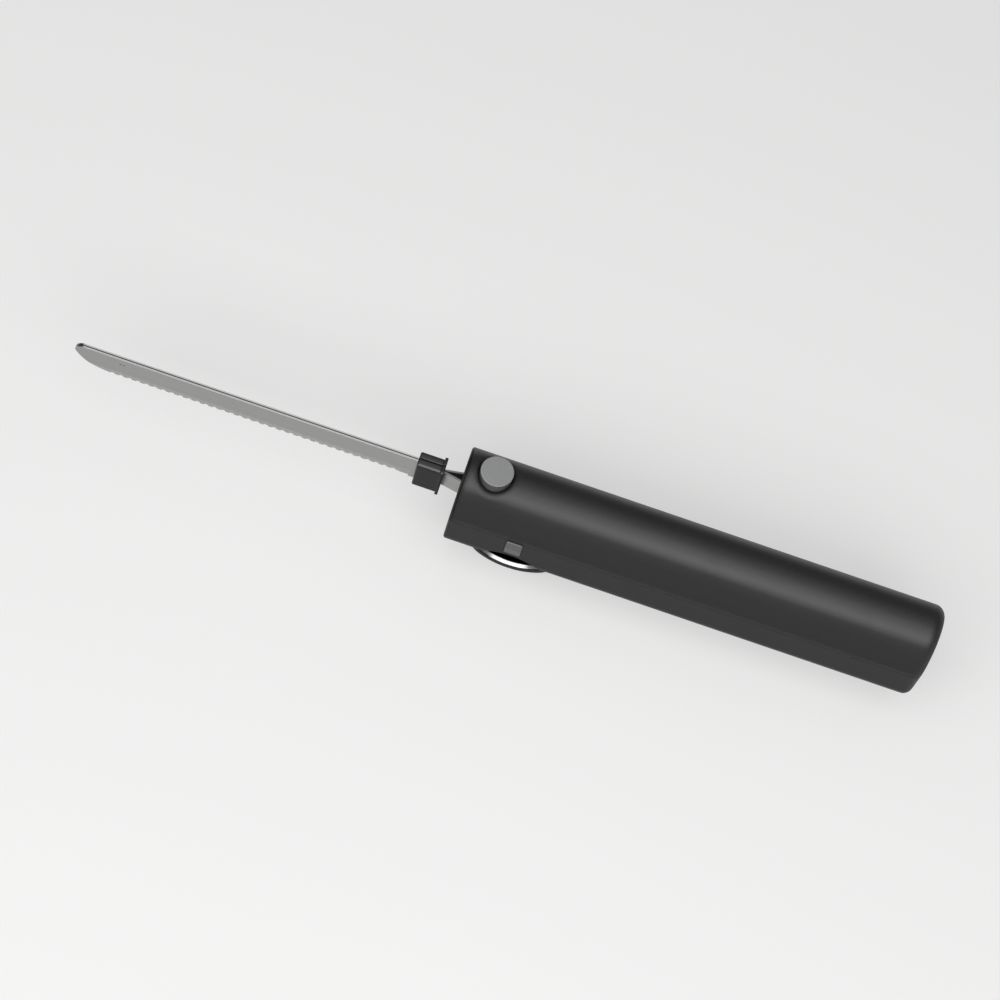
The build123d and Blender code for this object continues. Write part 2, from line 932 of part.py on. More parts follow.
def blade_outline():
    """Spine, rounded nose, round belly and scalloped edge, from nose to collar."""
    heel = collar_front + blade_height / 2
    nose_z = spine_z - nose_drop
    belly_x = nose_x + belly_length
    belly_z = nose_z - belly_drop
    quarter = 1 - math.sqrt(1 / 2)
    edges = [
        Line((heel, spine_z), (nose_x + nose_round, spine_z)),
        ThreePointArc(
            (nose_x + nose_round, spine_z),
            (nose_x + nose_round * quarter, spine_z - nose_drop * quarter),
            (nose_x, nose_z),
        ),
        ThreePointArc(
            (nose_x, nose_z),
            (nose_x + belly_length * belly_mid_length_share, nose_z - belly_drop * belly_mid_drop_share),
            (belly_x, belly_z),
        ),
        Line((belly_x, belly_z), (belly_x, edge_z)),
    ]
    x = belly_x
    while x + tooth_pitch < collar_front - teeth_heel_margin:
        gullet_end = x + gullet_length
        edges.append(ThreePointArc(
            (x, edge_z), ((x + gullet_end) / 2, edge_z + gullet_depth), (gullet_end, edge_z)
        ))
        edges.append(ThreePointArc(
            (gullet_end, edge_z),
            ((gullet_end + x + tooth_pitch) / 2, edge_z + notch_depth),
            (x + tooth_pitch, edge_z),
        ))
        x += tooth_pitch
    edges.append(Line((x, edge_z), (heel, edge_z)))
    edges.append(Line((heel, edge_z), (heel, spine_z)))
    return make_face(edges)


def hollow_grind():
    """The long bevel and one scallop for each gullet, as cut from the outer face."""
    run_out = blade_thickness * bevel_run_share
    slope = (blade_thickness - edge_thickness) / bevel_height
    low = edge_z - overrun
    bevel = Polygon(
        (blade_outer, edge_z + bevel_height),
        (blade_outer + run_out, edge_z + bevel_height),
        (blade_outer + run_out, low),
        (blade_face_gap + edge_thickness - slope * overrun, low),
        align=None,
    )
    cut = along(bevel, nose_x - overrun, collar_front - teeth_heel_margin / 2)
    x = nose_x + belly_length + gullet_length / 2
    while x + tooth_pitch < collar_front - teeth_heel_margin:
        wheel = Cylinder(scallop_radius, blade_height)
        out = blade_outer + scallop_radius - scallop_bite
        cut += Pos(x, out, edge_z + gullet_depth) * Rot(-scallop_tilt, 0, 0) * wheel
        x += tooth_pitch
    return cut


def tang_strip():
    """The steel strip behind the heel, bent outwards and back, seen from above."""
    half = blade_thickness / 2
    start = collar_front + blade_height / 2
    strip = make_face(Polyline(
        (start, tang_start_y - half),
        (collar_rear, tang_start_y - half),
        (tang_bend_x, tang_seat_y - half),
        (tang_end, tang_seat_y - half),
        (tang_end, tang_seat_y + half),
        (tang_bend_x, tang_seat_y + half),
        (collar_rear, tang_start_y + half),
        (start, tang_start_y + half),
        close=True,
    ))
    low = collar_middle - tang_height / 2
    strip = upward(strip, low, low + tang_height)
    hole_x = tang_bend_x + tang_hole_from_seat
    return strip - rod_y(tang_hole_radius, 0, half_width, hole_x, collar_middle)


def blade_plate():
    plate = across(blade_outline(), blade_face_gap, blade_outer)
    return plate - hollow_grind() + tang_strip()


def blade_left():
    slot_half = 2 * stroke_reach + rivet_pitch / 2 + rivet_radius * 2 + slot_play
    slot = Pos(rivet_x, rivet_z) * SlotOverall(2 * slot_half, slot_height)
    return blade_plate() - across(slot, -overrun, blade_outer + overrun)


def blade_right():
    plate = mirror(blade_plate(), about=Plane.XZ)
    for side in (-1, 1):
        x = rivet_x + side * rivet_pitch / 2
        plate -= rod_y(rivet_radius, -blade_outer - overrun, 0, x, rivet_z)
    return plate


def blade_rivet():
    """A slider riveted to the right blade, whose head runs in the left blade's slot."""
    side_play = slip_gap * 2
    slider = Pos(rivet_x, rivet_z) * SlotOverall(
        rivet_pitch + rivet_radius * 4, slot_height - side_play
    )
    head = Pos(rivet_x, rivet_z) * SlotOverall(rivet_pitch + rivet_head_height, rivet_head_height)
    head_face = blade_outer + slip_gap
    piece = across(slider, -blade_face_gap, head_face)
    piece += across(head, head_face, head_face + rivet_head_thickness)
    for side in (-1, 1):
        x = rivet_x + side * rivet_pitch / 2
        piece += rod_y(rivet_radius, -blade_outer, 0, x, rivet_z)
    return piece


def collar_half():
    half = collar_height / 2
    section = Rectangle(collar_width / 2 - blade_face_gap, collar_height, align=(Align.MIN, Align.CENTER))
    section = Pos(blade_face_gap, collar_middle) * section
    outer = section.vertices().sort_by(Axis.X)[-2:]
    section = fillet(outer, collar_round)
    body = along(section, collar_front, collar_rear - collar_flange_length)
    rim = Rectangle(
        collar_width / 2 - blade_face_gap + collar_flange_proud,
        collar_height + 2 * collar_flange_proud,
        align=(Align.MIN, Align.CENTER),
    )
    rim = Pos(blade_face_gap, collar_middle) * rim
    rim = fillet(rim.vertices().sort_by(Axis.X)[-2:], collar_round)
    body += along(rim, collar_rear - collar_flange_length, collar_rear)
    steel = block(
        collar_front - overrun,
        collar_front + blade_height / 2,
        -overrun,
        blade_outer,
        edge_z,
        spine_z,
    )
    low = collar_middle - tang_height / 2
    steel += block(collar_front, collar_rear + overrun, -overrun, blade_outer, low, low + tang_height)
    body = fillet(body.faces().sort_by(Axis.X)[0].edges().sort_by(Axis.Y)[-1], collar_round / 2)
    return body - steel


# Carriages

def carriage():
    """Left carriage: tang socket, bar and the slotted yoke round its eccentric."""
    low = collar_middle - tang_height / 2 - socket_wall
    high = collar_middle + tang_height / 2 + socket_wall
    body = block(socket_front, socket_rear, socket_inner_y, socket_outer_y, low, high)
    pocket = blade_thickness / 2 + slip_gap
    body -= block(
        socket_front - overrun,
        tang_end + seat_gap,
        tang_seat_y - pocket,
        tang_seat_y + pocket,
        low + socket_wall - slip_gap * 2,
        high - socket_wall + slip_gap * 2,
    )
    yoke_front = wheel_x - cam_half_slot - yoke_wall
    body += block(
        socket_rear - socket_wall,
        yoke_front + yoke_wall / 2,
        bar_inner_y,
        socket_outer_y,
        bar_middle - bar_height / 2,
        bar_middle + bar_height / 2,
    )
    outer = RectangleRounded(
        2 * (cam_half_slot + yoke_wall), 2 * (yoke_half_height + yoke_wall), 2 * yoke_wall
    )
    hole = RectangleRounded(2 * cam_half_slot, 2 * yoke_half_height, yoke_wall)
    body += across(Pos(wheel_x, wheel_z) * (outer - hole), bar_inner_y, socket_outer_y)
    stud_x = tang_bend_x + tang_hole_from_seat
    body -= rod_y(latch_stud_radius + seat_gap, tang_seat_y, half_width, stud_x, collar_middle)
    return body - rod_y(
        latch_rivet_radius + slip_gap / 4, socket_inner_y, half_width, latch_rivet_x, bar_middle
    )


def latch_leaf():
    """Left leaf spring with its stud over the tang's hole and a lip beside the wedge."""
    inner = socket_outer_y + slip_gap / 4
    low = collar_middle - latch_height / 2
    leaf = block(latch_head, latch_tail, inner, inner + latch_thickness, low, low + latch_height)
    leaf += block(
        latch_head, latch_lip_rear, inner, inner + latch_thickness, low, latch_lip_z
    )
    leaf += block(
        latch_head,
        latch_lip_rear,
        latch_lip_inner,
        inner + latch_thickness,
        latch_lip_z,
        latch_lip_z + latch_thickness,
    )
    stud_x = tang_bend_x + tang_hole_from_seat
    tip = tang_seat_y + blade_thickness / 2 + latch_stud_clear
    leaf += rod_y(latch_stud_radius, tip, inner + latch_thickness, stud_x, collar_middle)
    return leaf - rod_y(
        latch_rivet_radius + slip_gap / 4, 0, half_width, latch_rivet_x, bar_middle
    )


def latch_rivet():
    tip = tang_seat_y + blade_thickness / 2 + latch_stud_clear
    face = socket_outer_y + slip_gap / 2 + latch_thickness
    rivet = rod_y(latch_rivet_radius, tip, face, latch_rivet_x, bar_middle)
    return rivet + rod_y(
        latch_rivet_radius * 2, face, face + latch_thickness / 2, latch_rivet_x, bar_middle
    )


# Worm drive

def involute_flank(base_radius, low, high, turn):
    """Points up one flank of a wheel tooth, turned about the wheel's middle."""
    flank = []
    for step in range(flank_steps + 1):
        radius = low + (high - low) * step / flank_steps
        roll = math.sqrt(max((radius / base_radius) ** 2 - 1, 0))
        spread = roll - math.atan(roll)
        flank.append((radius * math.cos(turn + spread), radius * math.sin(turn + spread)))
    return flank


def wheel_profile(turn):
    pitch_radius = gear_module * wheel_teeth / 2
    base_radius = pitch_radius * math.cos(math.radians(pressure_angle))
    tip = pitch_radius + gear_module
    root = pitch_radius - gear_module * dedendum_share
    low = max(base_radius, root)
    roll = math.sqrt((pitch_radius / base_radius) ** 2 - 1)
    pitch_spread = roll - math.atan(roll)
    half_tooth = (math.pi * gear_module / 2 - tooth_backlash / 2) / 2 / pitch_radius
    step = 2 * math.pi / wheel_teeth
    edges = []
    for tooth in range(wheel_teeth):
        centre = turn - math.pi / 2 + tooth * step
        right = involute_flank(base_radius, low, tip, centre - half_tooth - pitch_spread)
        left = involute_mirror(right, centre)
        foot = (root * right[0][0] / low, root * right[0][1] / low)
        left_foot = (root * left[0][0] / low, root * left[0][1] / low)
        edges.append(Line(foot, right[0]))
        edges.append(Spline(*right))
        edges.append(Line(right[-1], left[-1]))
        edges.append(Spline(*reversed(left)))
        edges.append(Line(left[0], left_foot))
        next_foot = rotate_point(foot, step)
        edges.append(Line(left_foot, next_foot))
    return make_face(edges)


def rotate_point(point, angle):
    x, y = point
    return (x * math.cos(angle) - y * math.sin(angle), x * math.sin(angle) + y * math.cos(angle))


def involute_mirror(flank, centre):
    """The same flank on the other side of the tooth's middle line."""
    mirrored = []
    for x, y in flank:
        radius = math.hypot(x, y)
        angle = 2 * centre - math.atan2(y, x)
        mirrored.append((radius * math.cos(angle), radius * math.sin(angle)))
    return mirrored


def drive_wheel():
    """Sixteen helical teeth, a hub on each face and two eccentrics half a turn apart."""
    half = wheel_width / 2
    pitch_radius = gear_module * wheel_teeth / 2
    lead_slope = worm_lead / (2 * math.pi * worm_pitch_radius)
    twist = half * lead_slope / pitch_radius
    plates = []
    for y, turn in ((half, -twist), (-half, twist)):
        plane = Plane.XZ.offset(-y)
        plates.append(plane * (Pos(wheel_x, wheel_z) * wheel_profile(turn)))
    wheel = loft(plates, ruled=True)
    wheel += rod_y(hub_radius, -hub_reach, hub_reach, wheel_x, wheel_z)
    wheel += rod_y(cam_radius, hub_reach, cam_reach, wheel_x, wheel_z + stroke_reach)
    wheel += rod_y(cam_radius, -cam_reach, -hub_reach, wheel_x, wheel_z - stroke_reach)
    return wheel - rod_y(axle_radius + running_gap, -half_width, half_width, wheel_x, wheel_z)


def worm_section():
    """Section across the single thread: root, two flanks in short straight runs, and crest."""
    root = worm_pitch_radius - gear_module * dedendum_share
    tip = worm_pitch_radius + gear_module
    flank = []
    for step in range(flank_steps + 1):
        radius = root + (tip - root) * step / flank_steps
        half = (worm_lead - tooth_backlash) / 4
        half -= (radius - worm_pitch_radius) * math.tan(math.radians(pressure_angle))
        angle = 2 * math.pi * half / worm_lead
        flank.append((radius * math.cos(angle), radius * math.sin(angle)))
    other = [(x, -y) for x, y in flank]
    return make_face([
        Polyline(*flank),
        Line(flank[-1], other[-1]),
        Polyline(*reversed(other)),
        ThreePointArc(other[0], (-root, 0), flank[0]),
    ])


def worm():
    """Right-handed single thread along X, turned so that the wheel at rest is in mesh."""
    turns = worm_length / worm_lead
    thread = Solid.extrude_linear_with_rotation(
        worm_section().faces()[0], center=(0, 0, 0), normal=(0, 0, worm_length), angle=360 * turns
    )
    # the crests lie half a lead each side of the wheel's lowest tooth
    start = (worm_length - worm_lead) / 2 / worm_lead * 360
    place = Pos(wheel_x - worm_length / 2, 0, worm_z) * Rot(0, 90, 0) * Rot(0, 0, 180 - start)
    return thread.moved(place) - rod_x(worm_shaft_radius, 0, handle_length, 0, worm_z)


def motor_shaft():
    front = frame_front + slip_gap
    return rod_x(worm_shaft_radius, front, motor_rear - motor_cap_length, 0, worm_z)


def wheel_axle():
    reach = frame_inner_y + frame_wall
    return rod_y(axle_radius, -reach, reach, wheel_x, wheel_z)


def gear_frame():
    """Open-topped frame: two side walls, a floor, a front wall for the bars and a motor plate."""
    outer = frame_inner_y + frame_wall
    body = block(frame_front, frame_rear, -outer, outer, frame_floor, frame_top)
    body -= block(
        frame_front + frame_wall,
        frame_rear - frame_wall,
        -frame_inner_y,
        frame_inner_y,
        frame_floor + frame_wall,
        frame_top + overrun,
    )
    window = block(
        frame_front - overrun,
        frame_front + frame_wall + overrun,
        bar_inner_y - seat_gap,
        socket_outer_y + seat_gap,
        bar_middle - bar_height / 2 - seat_gap,
        bar_middle + bar_height / 2 + seat_gap,
    )
    body -= both_sides(window)
    body -= rod_x(bush_radius, frame_front - overrun, frame_front + frame_wall + overrun, 0, worm_z)
    body -= rod_x(
        motor_nose_radius + slip_gap, frame_rear - frame_wall - overrun, frame_rear + overrun, 0, worm_z
    )
    body -= rod_y(axle_radius + running_gap / 2, -half_width, half_width, wheel_x, wheel_z)
    for y in (-motor_screw_offset, motor_screw_offset):
        body -= rod_x(
            motor_screw_radius + running_gap, frame_rear - frame_wall - overrun, frame_rear + overrun,
            y, worm_z,
        )
    return body


def frame_cover():
    outer = frame_inner_y + frame_wall - cover_inset
    plate = block(frame_front, frame_rear, -outer, outer, frame_top, frame_top + cover_thickness)
    plate = fillet(plate.edges().filter_by(Axis.Z), frame_wall)
    return plate


def worm_bush():
    bush = rod_x(bush_radius, frame_front, frame_front + frame_wall, 0, worm_z)
    return bush - rod_x(worm_shaft_radius + running_gap, 0, handle_length, 0, worm_z)


def motor_screws():
    screws = Part()
    head = frame_rear - frame_wall - screw_head_height
    for y in (-motor_screw_offset, motor_screw_offset):
        screws += rod_x(motor_screw_radius, frame_rear - frame_wall, motor_front + motor_wall, y, worm_z)
        screws += rod_x(screw_head_radius, head, frame_rear - frame_wall, y, worm_z)
    return screws


# Motor

def motor_can():
    rear = motor_rear - motor_cap_length
    can = rod_x(motor_radius, motor_front, rear, 0, worm_z)
    can = chamfer(can.edges().filter_by(GeomType.CIRCLE).sort_by(Axis.X)[0], motor_wall)
    can -= rod_x(motor_radius - motor_wall, motor_front + motor_wall, rear + overrun, 0, worm_z)
    can += rod_x(motor_nose_radius, motor_front - motor_nose_length, motor_front + motor_wall, 0, worm_z)
    can -= rod_x(worm_shaft_radius + running_gap, 0, handle_length, 0, worm_z)
    for y in (-motor_screw_offset, motor_screw_offset):
        can -= rod_x(motor_screw_radius, 0, motor_rear - motor_cap_length, y, worm_z)
    return can


def motor_magnets():
    """Two arched magnets against the can."""
    front = motor_front + motor_wall + seat_gap
    outer = motor_radius - motor_wall - running_gap
    ring = rod_x(outer, front, front + rotor_length + magnet_thickness, 0, worm_z)
    ring -= rod_x(outer - magnet_thickness, 0, handle_length, 0, worm_z)
    gap = block(0, handle_length, -half_width, half_width, worm_z - outer / 2, worm_z + outer / 2)
    return ring - gap


def motor_rotor():
    """Three wound poles and the commutator on the shaft."""
    front = motor_front + motor_wall + magnet_thickness
    disc = Circle(rotor_radius)
    for pole in range(rotor_poles):
        slot = Pos(rotor_radius * rotor_slot_place_share, 0) * SlotOverall(
            rotor_radius, rotor_radius * rotor_slot_width_share
        )
        disc -= Rot(0, 0, 360 / rotor_poles * pole) * slot
    body = along(Pos(0, worm_z) * disc, front, front + rotor_length)
    body += rod_x(
        commutator_radius, front + rotor_length, front + rotor_length + commutator_length, 0, worm_z
    )
    return body - rod_x(worm_shaft_radius, 0, handle_length, 0, worm_z)


def motor_end_cap():
    front = motor_rear - motor_cap_length
    cap = rod_x(motor_radius, front, motor_rear, 0, worm_z)
    cap += rod_x(motor_radius - motor_wall - slip_gap, front - motor_wall, front, 0, worm_z)
    bore = worm_shaft_radius + running_gap
    return cap - rod_x(bore, 0, front + seat_gap, 0, worm_z)


def motor_terminals():
    tags = Part()
    for y in (-motor_screw_offset, motor_screw_offset):
        tags += block(
            motor_rear,
            motor_rear + terminal_length,
            y - terminal_width / 2,
            y + terminal_width / 2,
            worm_z - terminal_thickness / 2,
            worm_z + terminal_thickness / 2,
        )
    return tags


# Battery pack

def cell(z, tip_first):
    body = rod_x(cell_radius, cells_front, cells_rear, 0, z)
    body = chamfer(body.edges().filter_by(GeomType.CIRCLE), cell_tip)
    tip = cells_front - cell_tip if tip_first else cells_rear
    return body + rod_x(cell_tip_radius, tip, tip + cell_tip, 0, z)


def battery_cell_lower():
    return cell(cell_low_z, True)


def battery_cell_upper():
    return cell(cell_low_z + cell_pitch, False)


def battery_tray():
    """Cradle under the cells with a wall across each end."""
    reach = cell_tip + strip_thickness + seat_gap
    low = cell_low_z - cell_radius - tray_wall
    top = cell_low_z + cell_pitch + cell_radius / 2
    half = tray_half_width
    body = block(cells_front - reach - tray_wall, cells_rear + reach + tray_wall, -half, half, low, top)
    inside = block(cells_front - reach, cells_rear + reach, -half, half, low + tray_wall, top)
    body -= inside
    side = block(
        cells_front - reach,
        cells_rear + reach,
        cell_radius + slip_gap,
        half,
        low + tray_wall,
        cell_low_z + cell_pitch / 2,
    )
    return body + both_sides(side)


def contact_strips():
    """Nickel strips that join the cells at their ends."""
    low = cell_low_z - strip_width / 2
    high = cell_low_z + cell_pitch + strip_width / 2
    half = strip_width / 2
    front = cells_front - cell_tip
    rear = cells_rear + cell_tip
    strips = block(front - strip_thickness, front, -half, half, low, high)
    return strips + block(rear, rear + strip_thickness, -half, half, low, high)


# Charging board

def circuit_board():
    board = block(
        board_front,
        board_front + board_length,
        -board_width / 2,
        board_width / 2,
        board_z,
        board_z + board_thickness,
    )
    return fillet(board.edges().filter_by(Axis.Z), board_thickness)


def board_components():
    """Chip, smoothing capacitor and power transistor, each standing on the board."""
    top = board_z + board_thickness
    chip = block(
        board_front + board_length * chip_front_share,
        board_front + board_length * chip_rear_share,
        -board_width * chip_side_share,
        0,
        top,
        top + chip_height,
    )
    can_x = board_front + board_length * can_place_share
    can = rod_z(can_radius, top, top + can_height, can_x, board_width * can_place_share)
    power = block(
        board_front + chip_height,
        board_front + 2 * chip_height,
        -board_width * can_place_share,
        0,
        top,
        top + can_height,
    )
    return chip + can + power


def charging_inlet():
    rear = handle_length - rear_lean - wall - seat_gap
    top = board_z + board_thickness
    body = block(rear - jack_length, rear, -jack_width / 2, jack_width / 2, top, top + jack_height)
    body = fillet(body.edges().filter_by(Axis.X), ring_edge_round)
    body += rod_x(jack_bore + jack_pin - slip_gap, rear, rear + wall, 0, inlet_z)
    body -= rod_x(jack_bore, rear - jack_pin_length, handle_length, 0, inlet_z)
    return body + rod_x(jack_pin, rear - jack_pin_length - overrun / 2, rear, 0, inlet_z)


def charge_lamp():
    rear = handle_length - rear_lean * (1 - inlet_z / handle_height)
    rod = rod_x(lamp_radius, rear - jack_length, rear, lamp_y, inlet_z)
    foot = block(
        rear - jack_length,
        rear - jack_length + 2 * lamp_radius,
        lamp_y - lamp_radius,
        lamp_y + lamp_radius,
        board_z + board_thickness,
        inlet_z,
    )
    return rod + foot


def housing_screws():
    screws = Part()
    for x in (screw_front_x, screw_rear_x):
        for y in (-screw_y, screw_y):
            head = rod_z(case_screw_head_radius, screw_seat - case_screw_head, screw_seat, x, y)
            screws += head + rod_z(screw_radius, screw_seat, screw_seat + screw_length, x, y)
    return screws


def mirrored(solid):
    return mirror(solid, about=Plane.XZ)


nodes = {
    "upper_housing": upper_housing,
    "lower_housing": lower_housing,
    "nose_bezel": nose_bezel,
    "finger_guard": finger_guard,
    "guard_liner": guard_liner,
    "guard_screws": guard_screws,
    "trigger": trigger,
    "trigger_pin": trigger_pin,
    "trigger_spring": trigger_spring,
    "trigger_switch": trigger_switch,
    "trigger_plunger": trigger_plunger,
    "lock_button": lock_button,
    "lock_spring": lock_spring,
    "lock_switch": lock_switch,
    "lock_plunger": lock_plunger,
    "switch_terminals": switch_terminals,
    "release_button": release_button,
    "release_plunger": release_plunger,
    "release_spring": release_spring,
    "blade_left": blade_left,
    "blade_right": blade_right,
    "blade_rivet": blade_rivet,
    "collar_left": collar_half,
    "collar_right": lambda: mirrored(collar_half()),
    "carriage_left": carriage,
    "carriage_right": lambda: mirrored(carriage()),
    "latch_leaf_left": latch_leaf,
    "latch_leaf_right": lambda: mirrored(latch_leaf()),
    "latch_rivet_left": latch_rivet,
    "latch_rivet_right": lambda: mirrored(latch_rivet()),
    "drive_wheel": drive_wheel,
    "worm": worm,
    "motor_shaft": motor_shaft,
    "wheel_axle": wheel_axle,
    "gear_frame": gear_frame,
    "frame_cover": frame_cover,
    "worm_bush": worm_bush,
    "motor_screws": motor_screws,
    "motor_can": motor_can,
    "motor_magnets": motor_magnets,
    "motor_rotor": motor_rotor,
    "motor_end_cap": motor_end_cap,
    "motor_terminals": motor_terminals,
    "battery_cell_lower": battery_cell_lower,
    "battery_cell_upper": battery_cell_upper,
    "battery_tray": battery_tray,
    "contact_strips": contact_strips,
    "circuit_board": circuit_board,
    "board_components": board_components,
    "charging_inlet": charging_inlet,
    "charge_lamp": charge_lamp,
    "housing_screws": housing_screws,
}

for name, make in nodes.items():
    print(name)
    solid = Pos(x_shift, 0, z_shift) * make()
    solid.label = name
    export_step(solid, f"parts/{name}.step")
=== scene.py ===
import logging
import math
from dataclasses import dataclass
from enum import Enum
from typing import Iterable, Optional

import bmesh
import bpy
from mathutils import Matrix, Vector


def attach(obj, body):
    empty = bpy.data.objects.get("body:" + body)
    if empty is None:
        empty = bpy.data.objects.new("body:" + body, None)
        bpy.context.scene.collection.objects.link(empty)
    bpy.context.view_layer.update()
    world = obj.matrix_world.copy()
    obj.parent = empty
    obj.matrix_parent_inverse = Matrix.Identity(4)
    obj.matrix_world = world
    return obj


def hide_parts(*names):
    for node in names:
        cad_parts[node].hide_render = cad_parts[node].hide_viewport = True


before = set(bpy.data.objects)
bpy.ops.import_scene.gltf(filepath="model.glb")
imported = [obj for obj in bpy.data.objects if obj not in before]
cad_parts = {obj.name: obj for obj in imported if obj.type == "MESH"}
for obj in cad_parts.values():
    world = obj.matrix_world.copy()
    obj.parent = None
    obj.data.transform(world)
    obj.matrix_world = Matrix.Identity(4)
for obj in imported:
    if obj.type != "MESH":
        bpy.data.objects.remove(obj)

logging.basicConfig(level=logging.INFO, format="%(message)s")
log = logging.getLogger("carving_knife")

MM = 0.001
AXIS_X = (1.0, 0.0, 0.0)
AXIS_Y = (0.0, 1.0, 0.0)
AXIS_Z = (0.0, 0.0, 1.0)
BEVEL_SAMPLES = 8

Colour = tuple[float, float, float]

CASE_BLACK: Colour = (0.006, 0.006, 0.0062)
CASE_FLAKE: Colour = (0.011, 0.011, 0.0113)


class Grain(Enum):
    """How the noise is stretched along X, Y and Z for a metal's fine lines; ROUND is even."""

    ALONG = (3.0, 900.0, 900.0)
    ACROSS = (1500.0, 60.0, 14.0)
    ROUND = (260.0, 260.0, 260.0)


class NodeGroups:
    """Shared shader node groups, each built once and placed in the materials that need it.

    The layers are the noise's detail. Wear starts where the pointiness passes wear_from, and
    wear_gain is how fast it rises from there.
    """

    drift_layers = 4.0
    grain_layers = 2.0
    line_layers = 3.0
    wear_layers = 5.0
    wear_scale = 180.0
    wear_from = 0.52
    wear_gain = 18.0

    def __init__(self) -> None:
        """Builds every group."""
        self.drift = self._tone_drift()
        self.grain = self._fine_grain()
        self.lines = self._ground_lines()
        self.band = self._band()
        self.wear = self._edge_wear()

    @staticmethod
    def _start(name: str, inputs: Iterable[tuple], outputs: Iterable[tuple]) -> tuple:
        """Makes an empty group with its sockets.

        Args:
            name: The group's name.
            inputs: (name, socket type, default value) of each input.
            outputs: (name, socket type) of each output.

        Returns:
            The group, its input node and its output node.
        """
        group = bpy.data.node_groups.new(name, "ShaderNodeTree")
        for label, kind, value in inputs:
            socket = group.interface.new_socket(name=label, in_out="INPUT", socket_type=kind)
            socket.default_value = value
        for label, kind in outputs:
            group.interface.new_socket(name=label, in_out="OUTPUT", socket_type=kind)
        return group, group.nodes.new("NodeGroupInput"), group.nodes.new("NodeGroupOutput")

    @staticmethod
    def _math(group: bpy.types.NodeTree, operation: str, first, second) -> bpy.types.NodeSocket:
        """Adds one math node.

        Args:
            group: The tree that gets the node.
            operation: Blender's name for the operation.
            first: A socket or a number.
            second: A socket or a number.

        Returns:
            The node's output socket.
        """
        node = group.nodes.new("ShaderNodeMath")
        node.operation = operation
        for slot, value in zip(node.inputs, (first, second)):
            if isinstance(value, bpy.types.NodeSocket):
                group.links.new(value, slot)
            else:
                slot.default_value = value
        return node.outputs[0]

    @staticmethod
    def _noise(group: bpy.types.NodeTree, vector, scale, detail: float) -> bpy.types.NodeSocket:
        """Adds a noise texture.

        Args:
            group: The tree that gets the node.
            vector: The socket that holds the place on the surface.
            scale: A socket or a number.
            detail: How many finer layers the noise has.

        Returns:
            The noise's value.
        """
        node = group.nodes.new("ShaderNodeTexNoise")
        node.inputs["Detail"].default_value = detail
        group.links.new(vector, node.inputs["Vector"])
        if isinstance(scale, bpy.types.NodeSocket):
            group.links.new(scale, node.inputs["Scale"])
        else:
            node.inputs["Scale"].default_value = scale
        return node.outputs["Fac"]

    def _tone_drift(self) -> bpy.types.NodeTree:
        """Slow change of tone and gloss over a moulded or painted surface."""
        group, source, sink = self._start(
            "tone_drift",
            [
                ("Color", "NodeSocketColor", (0.5, 0.5, 0.5, 1.0)),
                ("Roughness", "NodeSocketFloat", 0.4),
                ("Amount", "NodeSocketFloat", 0.1),
                ("Scale", "NodeSocketFloat", 30.0),
            ],
            [("Color", "NodeSocketColor"), ("Roughness", "NodeSocketFloat")],
        )
        place = group.nodes.new("ShaderNodeTexCoord").outputs["Object"]
        noise = self._noise(group, place, source.outputs["Scale"], self.drift_layers)
        centred = self._math(group, "SUBTRACT", noise, 0.5)
        swing = self._math(group, "MULTIPLY", centred, source.outputs["Amount"])
        factor = self._math(group, "ADD", self._math(group, "MULTIPLY", swing, 2.0), 1.0)
        mix = group.nodes.new("ShaderNodeMix")
        mix.data_type = "RGBA"
        mix.blend_type = "MULTIPLY"
        mix.inputs["Factor"].default_value = 1.0
        group.links.new(source.outputs["Color"], mix.inputs["A"])
        grey = group.nodes.new("ShaderNodeCombineColor")
        for channel in grey.inputs:
            group.links.new(factor, channel)
        group.links.new(grey.outputs[0], mix.inputs["B"])
        group.links.new(mix.outputs["Result"], sink.inputs["Color"])
        rough = self._math(group, "ADD", source.outputs["Roughness"], swing)
        group.links.new(rough, sink.inputs["Roughness"])
        return group

    def _fine_grain(self) -> bpy.types.NodeTree:
        """Tiny raised grain of a moulding or of lacquer with metal flake."""
        group, source, sink = self._start(
            "fine_grain",
            [("Scale", "NodeSocketFloat", 2500.0), ("Depth", "NodeSocketFloat", 0.2)],
            [("Height", "NodeSocketFloat"), ("Flake", "NodeSocketFloat")],
        )
        place = group.nodes.new("ShaderNodeTexCoord").outputs["Object"]
        noise = self._noise(group, place, source.outputs["Scale"], self.grain_layers)
        group.links.new(
            self._math(group, "MULTIPLY", noise, source.outputs["Depth"]), sink.inputs["Height"]
        )
        cells = group.nodes.new("ShaderNodeTexVoronoi")
        group.links.new(place, cells.inputs["Vector"])
        group.links.new(source.outputs["Scale"], cells.inputs["Scale"])
        spread = group.nodes.new("ShaderNodeSeparateColor")
        group.links.new(cells.outputs["Color"], spread.inputs[0])
        group.links.new(spread.outputs[0], sink.inputs["Flake"])
        return group

    def _ground_lines(self) -> bpy.types.NodeTree:
        """Fine lines that a grinding belt or a drawing die leaves in metal."""
        group, source, sink = self._start(
            "ground_lines",
            [
                ("Stretch", "NodeSocketVector", Grain.ALONG.value),
                ("Depth", "NodeSocketFloat", 0.3),
            ],
            [("Height", "NodeSocketFloat"), ("Streak", "NodeSocketFloat")],
        )
        place = group.nodes.new("ShaderNodeTexCoord").outputs["Object"]
        scaled = group.nodes.new("ShaderNodeVectorMath")
        scaled.operation = "MULTIPLY"
        group.links.new(place, scaled.inputs[0])
        group.links.new(source.outputs["Stretch"], scaled.inputs[1])
        noise = self._noise(group, scaled.outputs[0], 1.0, self.line_layers)
        group.links.new(
            self._math(group, "MULTIPLY", noise, source.outputs["Depth"]), sink.inputs["Height"]
        )
        group.links.new(noise, sink.inputs["Streak"])
        return group

